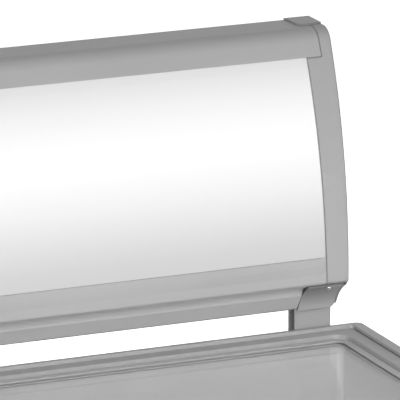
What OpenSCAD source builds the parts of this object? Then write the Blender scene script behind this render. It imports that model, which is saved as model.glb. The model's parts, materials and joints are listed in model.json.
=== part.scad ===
// Ice cream chest freezer: an insulated cabinet on castors, two sliding glass lids,
// and a lit canopy carried on two posts behind the cabinet.
// Millimetres, Z up, the front faces -Y. The origin is on the floor, in the middle
// of the whole footprint.

/* [Cabinet] */
// Width over the top frame
rim_w = 1500; // [1400:10:1600]
// Depth over the top frame
rim_d = 660; // [640:5:700]
// Height of the top frame above the floor
rim_top = 850; // [820:5:900]
// Insulated wall, from the outside of the top frame to the inside of the liner
wall = 57.5; // [57:0.5:64]
// Insulated floor between the base plate and the liner
floor_wall = 60; // [50:5:80]
// Thickness of the steel sheets
sheet = 1; // [0.8:0.1:1.2]
// Thickness of the base plate
base_t = 2; // [1.5:0.5:3]
// Height of the turned-down edge of the base plate
base_lip = 12; // [10:1:14]

/* [Top frame] */
// Height of the frame's outer wall
rim_h = 42; // [36:1:50]
// Thickness of the moulded walls
frame_t = 3; // [2.5:0.1:3.2]
// Width of the bead at the two ends
bead_end = 18; // [16:1:20]
// Width of the bead at the front and the back
bead_long = 10; // [9:0.5:12]
// Width of the upper track
track_w = 23; // [22:0.5:24]
// Drop from the bead to the upper track
track_drop = 5.5; // [5:0.5:7]
// Height from the lower track up to the upper one
track_pitch = 15.5; // [15.5:0.5:18]
// Radius of the frame's outside corners
rim_r = 12; // [11:1:14]
// Radius of the lip's corners between the two tracks
lip_r = 22; // [20:1:24]
// Width and drop of the sloping funnel under the lower track
funnel = 7.5; // [6:0.5:8]

/* [Sliding lids] */
// Height of a lid frame
lid_h = 9; // [8.5:0.5:9]
// Width of a lid frame's bars
lid_bar = 13; // [12:0.5:14]
// Thickness of the glass
glass_t = 4; // [3:0.5:4]
// How far each lid passes the middle of the freezer
lid_overlap = 30; // [24:1:40]
// How far a lid slides
lid_travel = 600; // [500:10:610]
// Length of a lid handle
handle_l = 80; // [60:5:160]
// Width of a lid handle
handle_w = 30; // [26:1:32]

/* [Canopy] */
// Distance from the top frame's end to the canopy's lower edge
canopy_in = 45; // [35:5:55]
// How much wider each side stands at the top
canopy_flare = 8; // [4:1:12]
// Height from the canopy's reference line up to its top
canopy_h = 376; // [360:4:400]
// Depth from the foot of the front face to the back
canopy_d = 170; // [164:2:180]
// Height of the reference line above the top frame
canopy_lift = 79; // [75:1:100]
// How far the canopy's foot stands in front of the top frame's back edge
canopy_over = 51.5; // [50:0.5:54]
// Radius of the curved front
face_r = 926; // [900:2:960]
// Depth below the reference line at which the front is upright
face_low = 40; // [36:1:44]
// Radius of the nose between the front and the top
nose_r = 30; // [28:1:34]
// Wall thickness of the canopy's profiles
skin = 2.5; // [2:0.1:2.8]
// Height of the bottom rail's upper edge above the reference line
glow_low = 44; // [40:1:50]
// Height of the top rail, from the light panel up to the canopy's top
rail_h = 39; // [34:1:46]
// Width of the end caps' front flange at the bottom
flange_w = 36.5; // [34:0.5:40]
// Width of the end caps' band round the nose and the top
band_w = 12; // [10:1:14]
// Depth of the canopy's floor below the reference line
tail = 46; // [44:1:50]
// Thickness of the diffuser
diffuser_t = 3; // [2:0.5:3]

/* [Posts] */
// Width of a post
post_w = 60; // [54:2:62]
// Depth of a post
post_d = 24; // [20:1:26]
// Wall thickness of a post
post_t = 2.5; // [2:0.5:3]
// Length of a post below the top frame
post_down = 400; // [300:10:450]
// Distance from the canopy's side to the post
post_in = 5.5; // [5:0.5:10]

/* [Castors] */
// Wheel diameter
wheel_d = 60; // [50:2:62]
// Wheel width
wheel_w = 22; // [18:1:24]
// Height of the whole castor
castor_h = 85; // [82:1:95]
// Distance from the swivel axis to the wheel's axle
castor_trail = 25; // [22:1:28]
// Axle radius
axle_r = 4; // [3:0.5:4.5]
// King pin radius
king_r = 5; // [4:0.5:6]

/* [Cooling] */
// Inside width of the compressor compartment
bay_w = 330; // [320:5:350]
// Inside height of the compressor compartment
bay_h = 250; // [245:5:270]
// Diameter of the compressor
comp_d = 150; // [130:5:160]
// Height of the compressor's shell
comp_h = 170; // [150:5:180]
// Diameter of the fan
fan_d = 160; // [140:5:165]
// Outside diameter of the evaporator tube
coil_d = 8; // [6:0.5:8]
// Turns of the evaporator tube
coil_turns = 6; // [4:1:7]
// Outside diameter of the refrigerant pipes
pipe_d = 6; // [5:0.5:8]

/* [Controls] */
// Diameter of the thermostat knob
knob_d = 28; // [24:1:32]
// Height of the thermostat knob
knob_h = 14; // [12:1:16]
// Radius of the cable gland's bore
gland_r = 4.5; // [3:0.25:5]
// Outside radius of the drain spout
drain_r = 11; // [10:0.5:12]

/* [Fits] */
// Clearance between pieces that seat on each other
gap = 0.3; // [0.2:0.05:0.4]
// Radial clearance of a running fit
run = 0.05; // [0.03:0.01:0.08]
// Clearance between a lid and the track that it stands on
slide_gap = 0.2; // [0.1:0.05:0.3]
// Clearance between a lid's edge and its track wall
side_gap = 0.5; // [0.4:0.1:1]

/* [Hidden] */
$fn = 48;

// Colours
plastic_grey = [0.66, 0.66, 0.66];
sheet_grey = [0.72, 0.72, 0.72];
liner_grey = [0.74, 0.74, 0.74];
dark = [0.16, 0.16, 0.17];
steel = [0.62, 0.63, 0.65];
copper = [0.72, 0.42, 0.28];

// The front of the shell stands behind the frame's front by its wall and a gap
shell_in = frame_t + gap + 0.1;
plate_t = 2;
// How far the knob stands in front of the top frame
front_reach = knob_h + gap + plate_t - shell_in;
back_reach = canopy_d - canopy_over;
depth_all = front_reach + rim_d + back_reach;
rim_y0 = front_reach - depth_all / 2;
rim_y1 = rim_y0 + rim_d;
rim_yc = (rim_y0 + rim_y1) / 2;

// Openings of the top frame, each as a width and a depth
step_w = rim_w - 2 * bead_end;
step_d = rim_d - 2 * bead_long;
step_r = 6;
lip_w = step_w - 2 * track_w;
lip_d = step_d - 2 * track_w;
mouth_w = rim_w - 2 * wall + 1;
mouth_d = rim_d - 2 * wall + 1;
mouth_r = 8.5;
upper_z = rim_top - track_drop;
lower_z = upper_z - track_pitch;
mouth_z = lower_z - funnel;

// Shell, liner and foam
shell_w = rim_w - 2 * shell_in;
shell_d = rim_d - 2 * shell_in;
shell_y0 = rim_y0 + shell_in;
shell_y1 = rim_y1 - shell_in;
shell_r = rim_r - shell_in;
shell_top = rim_top - frame_t - gap;
base_z = castor_h;
floor_z = base_z + base_t;
shell_z = floor_z + gap;
liner_w = mouth_w - 1 + 2 * sheet;
liner_d = mouth_d - 1 + 2 * sheet;
liner_r = mouth_r + sheet;
liner_top = mouth_z - gap;
foam_w = shell_w - 2 * sheet - 2 * gap;
foam_d = shell_d - 2 * sheet - 2 * gap;
foam_top = liner_top - sheet - gap;
tank_z = floor_z + floor_wall;
bay_x0 = shell_w / 2 - sheet - bay_w;
bay_top = floor_z + bay_h;
step_x = bay_x0 - floor_wall;
step_z = bay_top + floor_wall;

// Grille openings of the compressor bay
vent_x0 = bay_x0 + 18;
vent_x1 = shell_w / 2 - 26;
rear_x0 = vent_x0 + 60;
vent_z0 = floor_z + 12;
vent_z1 = bay_top - 8;
fascia_h = 46;
vent_lip = 6;
fascia_z0 = vent_z1 + vent_lip - fascia_h;

// Canopy: its own lines are measured from the foot of the front face
cy = rim_y1 - canopy_over;
cz = rim_top + canopy_lift;
canopy_w = rim_w - 2 * canopy_in;
half_w = canopy_w / 2;
glow_high = canopy_h - rail_h;
face_cy = sqrt(face_r * face_r - face_low * face_low);
nose_z = canopy_h - nose_r;
// The nose circle touches the big front circle from inside
nose_y = face_cy - sqrt(pow(face_r - nose_r, 2) - pow(nose_z + face_low, 2));
nose_a = asin((nose_z + face_low) / (face_r - nose_r));
face_top_z = nose_z + nose_r * sin(nose_a);
// Cove of the corner brackets, and the foot that carries them on the posts
cove_r = 71.8;
cove_c = [canopy_over - 76.5, -tail - 21.6];
cove_top = 64;
bracket_foot = -tail - 2;
bracket_t = 2.6;
bracket_in = 4;
bracket_w = 60;
foot_r = 5;
foot_c = [foot_r + 0.3, foot_r + 1.6];
flare_a = atan(canopy_flare / canopy_h);

// Lids
upper_lid_z = upper_z + slide_gap;
lower_lid_z = lower_z + slide_gap;
upper_lid_d = step_d - 2 * side_gap;
lower_lid_d = lip_d - 2 * side_gap;
upper_lid_x0 = -step_w / 2 + side_gap;
upper_lid_x1 = lid_overlap;
lower_lid_x0 = -lid_overlap;
lower_lid_x1 = lip_w / 2 - side_gap;
glass_bite = 6;
glass_r = 6;
lid_floor = 2.5;

// Posts
post_x1 = half_w - post_in;
post_x0 = post_x1 - post_w;
post_y0 = rim_y1 + gap;
post_y1 = post_y0 + post_d;
post_z0 = rim_top - post_down;
// Sheet brackets that hold the canopy's back on the posts
tie_z0 = glow_low + 30;
tie_z1 = tie_z0 + 160;
tie_screw = 20;
post_z1 = cz + tie_z1 + 6;
bolt_heights = [post_z0 + 40, post_z0 + post_down / 2, rim_top - rim_h - 30];

// Castors
castor_xs = [-(rim_w / 2 - 80), rim_w / 2 - 80];
castor_ys = [shell_y0 + 70, shell_y1 - 90];
mount_t = 2.5;
fork_t = 2.5;
fork_top = castor_h - mount_t - 4;

// Parts of the compressor bay
fan_x = (vent_x0 + vent_x1) / 2;
fan_z = floor_z + 16 + fan_d / 2;
cond_y0 = shell_y0 + 16;
cond_d = 66;
cond_y1 = cond_y0 + cond_d;
cond_w = vent_x1 - vent_x0 - 20;
cond_h = fan_d + 24;
comp_x = bay_x0 + bay_w / 2 + 20;
comp_y = rim_yc + 120;
comp_foot = 12;

function arc(c, r, a0, a1, n) =
  [for (i = [0:n]) c + r * [cos(a0 + (a1 - a0) * i / n), sin(a0 + (a1 - a0) * i / n)]];

// Angle on the front circle at a height above the reference line
function face_a(z, r) = 180 - asin((z + face_low) / r);

// The curved front between two heights, set in by t, listed upwards
function front_line(z0, z1, t, n) =
  arc([face_cy, -face_low], face_r - t, face_a(z0, face_r - t), face_a(z1, face_r - t), n);

// Nose and flat top, from the front circle to the back, set in by t
function nose_line(t, n) =
  arc([nose_y, nose_z], nose_r - t, 180 - nose_a, 90, n);

// The same list from its end to its start
function backwards(list) = [for (i = [len(list) - 1:-1:0]) list[i]];

// Closed outline of the canopy's side
side_outline = concat(
  front_line(7, face_top_z - 2, 0, 14),
  nose_line(0, 8),
  [[canopy_d, canopy_h], [canopy_d, -tail], [canopy_over, -tail]],
  arc(cove_c, cove_r, 22, cove_top, 10),
  arc(foot_c, foot_r, 270, 190, 4)
);

// Wall of the front from its rounded foot up to a height, with a hook behind the foot
function front_wall(top, n) = concat(
  front_line(7, top, 0, n),
  backwards(front_line(7, top, skin, n)),
  arc(foot_c, foot_r - skin, 180, 270, 4),
  [[12, foot_c.y - foot_r + skin], [12, 14], [12 + skin, 14], [12 + skin, foot_c.y - foot_r]],
  arc(foot_c, foot_r, 270, 190, 4)
);

// Extrude a 2-D profile of Y and Z along X, and one of X and Z along Y
module along_x(x0, x1) {
  translate([x0, 0, 0]) rotate([90, 0, 90]) linear_extrude(x1 - x0) children();
}
module along_y(y0, y1) {
  translate([0, y1, 0]) rotate([90, 0, 0]) linear_extrude(y1 - y0) children();
}
module in_canopy() {
  translate([0, cy, cz]) children();
}
module block(x0, x1, y0, y1, z0, z1) {
  translate([x0, y0, z0]) cube([x1 - x0, y1 - y0, z1 - z0]);
}
module rod_y(x, z, r, y0, y1) {
  translate([x, y1, z]) rotate([90, 0, 0]) cylinder(r = r, h = y1 - y0);
}
module rod_x(y, z, r, x0, x1) {
  translate([x0, y, z]) rotate([0, 90, 0]) cylinder(r = r, h = x1 - x0);
}
module rounded(w, d, r) {
  square([w - 2 * r, d], center = true);
  square([w, d - 2 * r], center = true);
  for (x = [-1, 1], y = [-1, 1])
    translate([x * (w / 2 - r), y * (d / 2 - r)]) circle(r);
}
// Plate or ring with rounded corners round the middle of the top frame
module slab(w, d, r, z0, z1) {
  translate([0, rim_yc, z0]) linear_extrude(z1 - z0) rounded(w, d, r);
}
module ring(w1, d1, r1, w2, d2, r2, z0, z1) {
  translate([0, rim_yc, z0]) linear_extrude(z1 - z0) difference() {
    rounded(w1, d1, r1);
    rounded(w2, d2, r2);
  }
}
// Run a profile round a rounded rectangle: its x counts outwards from the corners' centres
module swept_ring(w, d, r) {
  cx = w / 2 - r;
  ch = d / 2 - r;
  for (x = [-1, 1], y = [-1, 1])
    translate([x * cx, rim_yc + y * ch, 0])
      rotate([0, 0, x > 0 ? (y > 0 ? 0 : 270) : (y > 0 ? 90 : 180)])
        rotate_extrude(angle = 90) children();
  for (s = [-1, 1]) {
    translate([0, rim_yc + s * ch, 0]) mirror([0, s < 0 ? 1 : 0, 0])
      along_x(-cx, cx) children();
    translate([s * cx, 0, 0]) mirror([s < 0 ? 1 : 0, 0, 0])
      along_y(rim_yc - ch, rim_yc + ch) children();
  }
}
// A bent tube along a list of points, with a brazed joint at each corner
module tube(points, r) {
  for (i = [0:len(points) - 2]) {
    step = points[i + 1] - points[i];
    l = norm(step);
    translate(points[i])
      rotate([0, acos(step.z / l), atan2(step.y, step.x)]) cylinder(r = r, h = l);
  }
  for (i = [1:len(points) - 2]) translate(points[i]) sphere(r * 1.04);
}
module left_copy() {
  mirror([1, 0, 0]) children();
}

// Cabinet
module shell_plan() {
  difference() {
    rounded(shell_w, shell_d, shell_r);
    rounded(shell_w - 2 * sheet, shell_d - 2 * sheet, shell_r - sheet);
  }
}
front_return = 24;
module front_panel() {
  color(sheet_grey) difference() {
    translate([0, rim_yc, shell_z]) linear_extrude(shell_top - shell_z)
      intersection() {
        shell_plan();
        translate([-rim_w / 2, -rim_d / 2]) square([rim_w, front_return]);
      }
    block(vent_x0, vent_x1, rim_y0, rim_y0 + front_return, vent_z0, vent_z1);
  }
}
module right_side_panel() {
  color(sheet_grey) translate([0, rim_yc, shell_z]) linear_extrude(shell_top - shell_z)
    intersection() {
      shell_plan();
      translate([0, -rim_d / 2 + front_return + gap])
        square([rim_w / 2, rim_d - 2 * front_return - 2 * gap]);
    }
}
module back_panel() {
  color(sheet_grey) difference() {
    translate([0, rim_yc, shell_z]) linear_extrude(shell_top - shell_z)
      intersection() {
        shell_plan();
        translate([-rim_w / 2, rim_d / 2 - front_return]) square([rim_w, front_return]);
      }
    block(rear_x0, vent_x1, rim_y1 - front_return, rim_y1, vent_z0, vent_z1);
    rod_y(gland_x, gland_z, gland_neck + gap, shell_y1 - 5, shell_y1 + 5);
    for (s = [-1, 1], z = bolt_heights)
      rod_y(s * (post_x0 + post_w / 2), z, bolt_r + 0.2, shell_y1 - 5, shell_y1 + 5);
  }
}
coil_pocket = coil_d + 2 * gap;
coil_z0 = step_z + 40;
coil_z1 = foam_top - 60;
drain_in = 260;
drain_x = -rim_w / 2 + drain_in;
drain_y = rim_yc;
module foam_insulation() {
  color([0.9, 0.85, 0.6]) difference() {
    slab(foam_w, foam_d, shell_r - sheet - gap, floor_z + gap, foam_top);
    // Room for the liner, the step over the compressor bay and the evaporator tube
    intersection() {
      slab(liner_w + 2 * gap, liner_d + 2 * gap, liner_r + gap,
           tank_z - sheet - gap, foam_top + 1);
      union() {
        block(-rim_w, step_x + sheet + gap, -rim_d, rim_d, 0, rim_top);
        block(-rim_w, rim_w, -rim_d, rim_d, step_z - sheet - gap, rim_top);
      }
    }
    slab(liner_w + 2 * coil_pocket, liner_d + 2 * coil_pocket, 2, coil_z0, coil_z1);
    block(bay_x0, rim_w, -rim_d, rim_d, 0, bay_top);
    translate([drain_x, drain_y, 0]) cylinder(r = drain_r + gap, h = tank_z);
    rod_x(suction_y, suction_z, pipe_d / 2 + gap, bay_x0 - floor_wall, bay_x0 + 1);
  }
}
module liner_body(w, d, r, t) {
  intersection() {
    slab(w, d, r, tank_z - t, rim_top);
    union() {
      block(-rim_w, step_x + t, -rim_d, rim_d, 0, rim_top);
      block(-rim_w, rim_w, -rim_d, rim_d, step_z - t, rim_top);
    }
  }
}
module inner_liner() {
  color(liner_grey) difference() {
    union() {
      intersection() {
        liner_body(liner_w, liner_d, liner_r, sheet);
        block(-rim_w, rim_w, -rim_d, rim_d, 0, liner_top);
      }
      // Turned-out flange under the top frame
      slab(liner_w + 18, liner_d + 18, liner_r + 9, liner_top - sheet, liner_top);
    }
    liner_body(liner_w - 2 * sheet, liner_d - 2 * sheet, mouth_r, 0);
    translate([drain_x, drain_y, tank_z - 5]) cylinder(r = drain_r - 3, h = 10);
  }
}
bead_round = 2.5;
bead_lap = 8;
module top_frame() {
  color(plastic_grey) union() {
    // Outer wall and the bead's rounded outer edge
    translate([0, 0, rim_top]) swept_ring(rim_w, rim_d, rim_r) polygon(concat(
      [[rim_r - bead_lap, -frame_t], [rim_r - bead_lap, 0]],
      arc([rim_r - bead_round, -bead_round], bead_round, 90, 0, 6),
      [[rim_r, -rim_h], [rim_r - frame_t, -rim_h], [rim_r - frame_t, -frame_t]]
    ));
    ring(rim_w - bead_lap, rim_d - bead_lap, rim_r - bead_lap / 2, step_w, step_d, step_r,
         rim_top - frame_t, rim_top);
    ring(step_w + 2 * frame_t, step_d + 2 * frame_t, step_r + frame_t,
         step_w, step_d, step_r, upper_z - frame_t, rim_top);
    ring(step_w + 2 * frame_t, step_d + 2 * frame_t, step_r + frame_t,
         lip_w, lip_d, lip_r, upper_z - frame_t, upper_z);
    ring(lip_w + 2 * frame_t, lip_d + 2 * frame_t, lip_r + frame_t,
         lip_w, lip_d, lip_r, lower_z - frame_t, upper_z);
    ring(lip_w + 2 * frame_t, lip_d + 2 * frame_t, lip_r + frame_t,
         mouth_w + 2 * funnel, mouth_d + 2 * funnel, mouth_r + funnel,
         lower_z - frame_t, lower_z);
    // Funnel that leads down to the liner
    swept_ring(mouth_w, mouth_d, mouth_r) polygon([
      [mouth_r + funnel, lower_z], [mouth_r, mouth_z],
      [mouth_r + funnel + 4, mouth_z], [mouth_r + funnel + 4, lower_z]
    ]);
  }
}
module base_plate() {
  color(steel) difference() {
    slab(shell_w, shell_d, shell_r, base_z - base_lip, floor_z);
    slab(shell_w - 2 * base_t, shell_d - 2 * base_t, shell_r - base_t,
         base_z - base_lip - 1, base_z);
    translate([drain_x, drain_y, 0]) cylinder(r = drain_r + gap, h = tank_z);
  }
}

// Grilles of the compressor bay: a flanged frame with sloping louvres
louvre_pitch = 15;
module louvred_frame(x0, x1, z0, z1) {
  difference() {
    union() {
      block(x0 - vent_lip, x1 + vent_lip, -plate_t, 0, z0, z1);
      block(x0 + gap, x1 - gap, 0, 8, vent_z0 + gap, z1 - vent_lip);
    }
    block(x0 + 6, x1 - 6, -5, 12, vent_z0 + 6, z1 - 12);
  }
  for (z = [vent_z0 + 12:louvre_pitch:z1 - 16])
    translate([x0 + 4, 3, z]) rotate([-35, 0, 0])
      translate([0, -4, -0.8]) cube([x1 - x0 - 8, 10, 1.6]);
  block((x0 + x1) / 2 - 3, (x0 + x1) / 2 + 3, 0, 7, vent_z0 + 2, z1 - 10);
}
module front_grille() {
  color(dark) translate([0, shell_y0, 0])
    louvred_frame(vent_x0, vent_x1, vent_z0 - vent_lip, fascia_z0 - gap);
}
module rear_grille() {
  color(dark) translate([0, shell_y1, 0]) mirror([0, 1, 0])
    louvred_frame(rear_x0, vent_x1, vent_z0 - vent_lip, vent_z1 + vent_lip);
}

// Controls: fascia with the thermostat, the rocker switch and three lamps
knob_x = vent_x0 + 46;
ctrl_z = fascia_z0 + fascia_h / 2 - 3;
switch_x = knob_x + 70;
lamp_xs = [for (i = [0:2]) switch_x + 50 + i * 22];
shaft_r = 3;
rocker_w = 14;
rocker_h = 22;
rocker_y = shell_y0 + 4;
rocker_pin = 1.5;
rocker_tilt = 8;
module control_fascia() {
  color(dark) difference() {
    union() {
      block(vent_x0 - vent_lip, vent_x1 + vent_lip, shell_y0 - plate_t, shell_y0,
            fascia_z0, fascia_z0 + fascia_h);
      block(vent_x0 + gap, vent_x1 - gap, shell_y0, shell_y0 + 6,
            fascia_z0 + gap, vent_z1 - gap);
      // Housing of the rocker switch
      block(switch_x - rocker_w / 2 - 2.5, switch_x + rocker_w / 2 + 2.5,
            shell_y0, shell_y0 + 14, ctrl_z - rocker_h / 2 - 2.5, ctrl_z + rocker_h / 2 + 2.5);
    }
    block(vent_x0 + 3, knob_x - 26, shell_y0, shell_y0 + 7, fascia_z0 + 3, vent_z1 - 3);
    block(lamp_xs[2] + 12, vent_x1 - 3, shell_y0, shell_y0 + 7, fascia_z0 + 3, vent_z1 - 3);
    rod_y(knob_x, ctrl_z, shaft_r + 0.5, shell_y0 - 5, shell_y0 + 10);
    block(switch_x - rocker_w / 2, switch_x + rocker_w / 2, shell_y0 - 5, shell_y0 + 12,
          ctrl_z - rocker_h / 2, ctrl_z + rocker_h / 2);
    rod_x(rocker_y, ctrl_z, rocker_pin + run, switch_x - rocker_w / 2 - 5,
          switch_x + rocker_w / 2 + 5);
    for (x = lamp_xs) rod_y(x, ctrl_z, 4 + 0.1, shell_y0 - 5, shell_y0 + 10);
  }
}
module thermostat_body() {
  color(steel) union() {
    block(knob_x - 20, knob_x + 20, shell_y0 + 6 + gap, shell_y0 + 34,
          ctrl_z - 14, ctrl_z + 14);
    rod_y(knob_x, ctrl_z, shaft_r, shell_y0 - plate_t - 9, shell_y0 + 10);
  }
}
module thermostat_knob() {
  color([0.8, 0.8, 0.8]) difference() {
    translate([knob_x, shell_y0 - plate_t - gap, ctrl_z]) rotate([90, 0, 0]) union() {
      rotate_extrude() polygon([
        [0, 0], [knob_d / 2, 0], [knob_d / 2, 3], [knob_d / 2 - 2.5, 4],
        [knob_d / 2 - 4, knob_h - 1], [knob_d / 2 - 5, knob_h], [0, knob_h]
      ]);
      for (a = [0:30:330]) rotate([0, 0, a]) translate([knob_d / 2 - 4.4, -0.8, 0])
        cube([1.4, 1.6, knob_h - 2]);
    }
    rod_y(knob_x, ctrl_z, shaft_r + run, shell_y0 - plate_t - 9.5, shell_y0);
  }
}
module power_switch() {
  color([0.8, 0.15, 0.12]) translate([switch_x, rocker_y, ctrl_z])
    rotate([rocker_tilt, 0, 0]) union() {
      along_x(-rocker_w / 2 + 0.4, rocker_w / 2 - 0.4) polygon([
        [-8.4, -9.6], [-7, 0], [-8.4, 9.6], [-3, 10.2], [2, 3], [2, -3], [-3, -10.2]
      ]);
      rod_x(0, 0, rocker_pin, -rocker_w / 2 - 2.2, rocker_w / 2 + 2.2);
    }
}
module indicator_lamps() {
  color([0.3, 0.8, 0.3]) for (x = lamp_xs)
    translate([x, shell_y0 - plate_t, ctrl_z]) rotate([-90, 0, 0]) union() {
      cylinder(r = 4, h = 14);
      translate([0, 0, -2]) cylinder(r1 = 3.4, r2 = 5, h = 2);
    }
}

// Cable gland in the back panel, with an open bore for the lead
gland_x = vent_x0 + 22;
gland_z = floor_z + 90;
gland_neck = gland_r + 4;
module cable_gland() {
  color(dark) difference() {
    union() {
      rod_y(gland_x, gland_z, gland_neck, shell_y1 - 12, shell_y1 + 4);
      rod_y(gland_x, gland_z, gland_neck + 4, shell_y1 + gap, shell_y1 + 9);
      rod_y(gland_x, gland_z, gland_neck + 3, shell_y1 - sheet - gap - 3, shell_y1 - sheet - gap);
    }
    rod_y(gland_x, gland_z, gland_r, shell_y1 - 20, shell_y1 + 20);
  }
}

// Cooling machine in the bay
module compressor() {
  color(dark) translate([comp_x, comp_y, floor_z + comp_foot]) union() {
    // Welded shell: a drum with domed ends
    rotate_extrude() polygon(concat(
      [[0, 8], [comp_d / 2 - 22, 8]],
      arc([comp_d / 2 - 22, 30], 22, -90, 0, 6),
      arc([comp_d / 2 - 30, comp_h - 30], 30, 0, 90, 8),
      [[0, comp_h]]
    ));
    difference() {
      translate([-comp_d / 2 - 12, -comp_d / 2, 0]) cube([comp_d + 24, comp_d, 3]);
      for (x = [-1, 1], y = [-1, 1])
        translate([x * (comp_d / 2 - 2), y * (comp_d / 2 - 14), -1]) cylinder(r = 5, h = 5);
    }
    cylinder(r = comp_d / 2 - 20, h = 12);
    // Terminal box
    translate([comp_d / 2 - 8, -30, 50]) cube([34, 60, 62]);
  }
}
module compressor_mounts() {
  color([0.1, 0.1, 0.1]) for (x = [-1, 1], y = [-1, 1])
    translate([comp_x + x * (comp_d / 2 - 2), comp_y + y * (comp_d / 2 - 14), floor_z])
      rotate_extrude() polygon([
        [0, gap], [9, gap], [9, comp_foot - gap], [4.6, comp_foot - gap],
        [4.6, comp_foot + 3 + gap], [8, comp_foot + 3 + gap], [8, comp_foot + 7],
        [0, comp_foot + 7]
      ]);
}
fin_pitch = 12;
module condenser_coil() {
  rows = floor(cond_h / 26);
  color(steel) translate([fan_x, cond_y0, floor_z + gap]) union() {
    for (x = [-cond_w / 2:fin_pitch:cond_w / 2])
      translate([x, 0, 0]) cube([1.2, cond_d, cond_h]);
    // Tube rows that run through the fins
    for (i = [0:rows - 1], y = [18, cond_d - 18])
      rod_x(y, 16 + i * 26, 4, -cond_w / 2 - 6, cond_w / 2 + 6);
    // Return bends at both ends
    for (i = [0:rows - 1], s = [-1, 1])
      translate([s * (cond_w / 2 + 6), 0, 16 + i * 26]) rotate([90, 0, 0])
        translate([0, 0, -cond_d + 14]) cylinder(r = 4.2, h = cond_d - 28);
    block(-cond_w / 2, cond_w / 2, 4, cond_d - 4, 0, 2);
  }
}
fan_y = cond_y1 + 34;
module fan_shroud() {
  color(dark) difference() {
    union() {
      block(fan_x - cond_w / 2, fan_x + cond_w / 2, cond_y1 + gap, cond_y1 + gap + 2,
            floor_z + gap, floor_z + cond_h);
      rod_y(fan_x, fan_z, fan_d / 2 + 6, cond_y1 + gap, fan_y + 8);
      block(fan_x - 60, fan_x + 60, cond_y1 + gap, cond_y1 + 30,
            floor_z + gap, floor_z + gap + 2);
    }
    rod_y(fan_x, fan_z, fan_d / 2 + 3, cond_y1 - 1, fan_y + 10);
  }
}
module fan_blade() {
  color([0.2, 0.2, 0.22]) difference() {
    union() {
      rod_y(fan_x, fan_z, 17, fan_y - 14, fan_y + 4);
      for (a = [0:72:288]) translate([fan_x, fan_y - 5, fan_z]) rotate([0, a, 0])
        rotate([0, 0, 28]) intersection() {
          translate([-26, -0.9, 10]) cube([52, 1.8, fan_d / 2 - 11]);
          translate([0, 10, 0]) rotate([90, 0, 0]) cylinder(r = fan_d / 2 - 1, h = 20);
        }
    }
    rod_y(fan_x, fan_z, 3 + run, fan_y - 8, fan_y + 5);
  }
}
module fan_motor() {
  color(steel) union() {
    rod_y(fan_x, fan_z, 3, fan_y - 7, fan_y + 12);
    rod_y(fan_x, fan_z, 26, fan_y + 9, fan_y + 46);
    // Three arms that carry the motor on the shroud's rim
    for (a = [90, 210, 330]) translate([fan_x, fan_y + 8 + gap, fan_z]) rotate([0, a, 0])
      translate([-5, 0, 20]) cube([10, 3, fan_d / 2 - 15]);
  }
}
drier_x = bay_x0 + 14;
drier_z = floor_z + 60;
drier_y = fan_y + 60;
module filter_drier() {
  color(copper) translate([drier_x, drier_y, drier_z]) rotate([-90, 0, 0])
    rotate_extrude() polygon([
      [0, 0], [pipe_d / 2 + 1, 0], [pipe_d / 2 + 1, 8], [11, 18], [11, 78],
      [pipe_d / 2 + 1, 88], [pipe_d / 2 + 1, 96], [0, 96]
    ]);
  // Clip that holds the drier on the foam wall
  color(steel) difference() {
    block(bay_x0 + gap, drier_x + 13, drier_y + 40, drier_y + 54, drier_z - 13, drier_z + 13);
    rod_y(drier_x, drier_z, 11, drier_y + 39, drier_y + 55);
  }
}
// Where a pipe at a sideways offset meets the compressor's shell
function comp_side(off) =
  comp_x - sqrt(pow(comp_d / 2, 2) - pow(abs(off) - pipe_d / 2, 2)) - gap / 2;
suction_y = comp_y - 30;
suction_z = floor_z + comp_foot + comp_h - 40;
module refrigerant_pipes() {
  r = pipe_d / 2;
  suction_end = comp_side(suction_y - comp_y);
  hot_end = comp_side(20);
  bend_x = hot_end - 26;
  hot_z = floor_z + comp_foot + comp_h - 60;
  over_z = floor_z + cond_h + 10;
  out_x = fan_x - cond_w / 2 - 6;
  color(copper) {
    // Suction pipe from the evaporator to the compressor
    tube([[bay_x0 - 30, suction_y, suction_z], [suction_end, suction_y, suction_z]], r);
    // Hot gas pipe from the compressor to the top of the condenser
    tube([[hot_end, comp_y + 20, hot_z], [bend_x, comp_y + 20, hot_z],
          [bend_x, comp_y + 20, over_z], [bend_x, cond_y1 - 18, over_z],
          [fan_x - cond_w / 2 + 8, cond_y1 - 18, over_z],
          [fan_x - cond_w / 2 + 8, cond_y1 - 18, floor_z + cond_h + gap]], r);
    // Liquid pipe from the foot of the condenser to the drier
    tube([[out_x - 4.5, cond_y0 + 50, floor_z + 16], [drier_x, cond_y0 + 50, floor_z + 16],
          [drier_x, cond_y0 + 50, drier_z], [drier_x, drier_y - gap, drier_z]], r);
  }
}
module evaporator_coil() {
  r = coil_d / 2;
  x = liner_w / 2 + r + gap / 2;
  y = liner_d / 2 + r + gap / 2;
  z0 = coil_z0 + coil_d;
  pitch = (coil_z1 - coil_z0 - 2 * coil_d) / coil_turns;
  path = [for (i = [0:coil_turns - 1], p = [[-x, y, 0], [-x, -y, 0], [x, -y, 0], [x, y, 0]])
    [p.x, rim_yc + p.y, z0 + i * pitch]];
  color(copper) tube(concat(path, [[-x, rim_yc + y, z0 + coil_turns * pitch]]), r);
}

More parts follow.
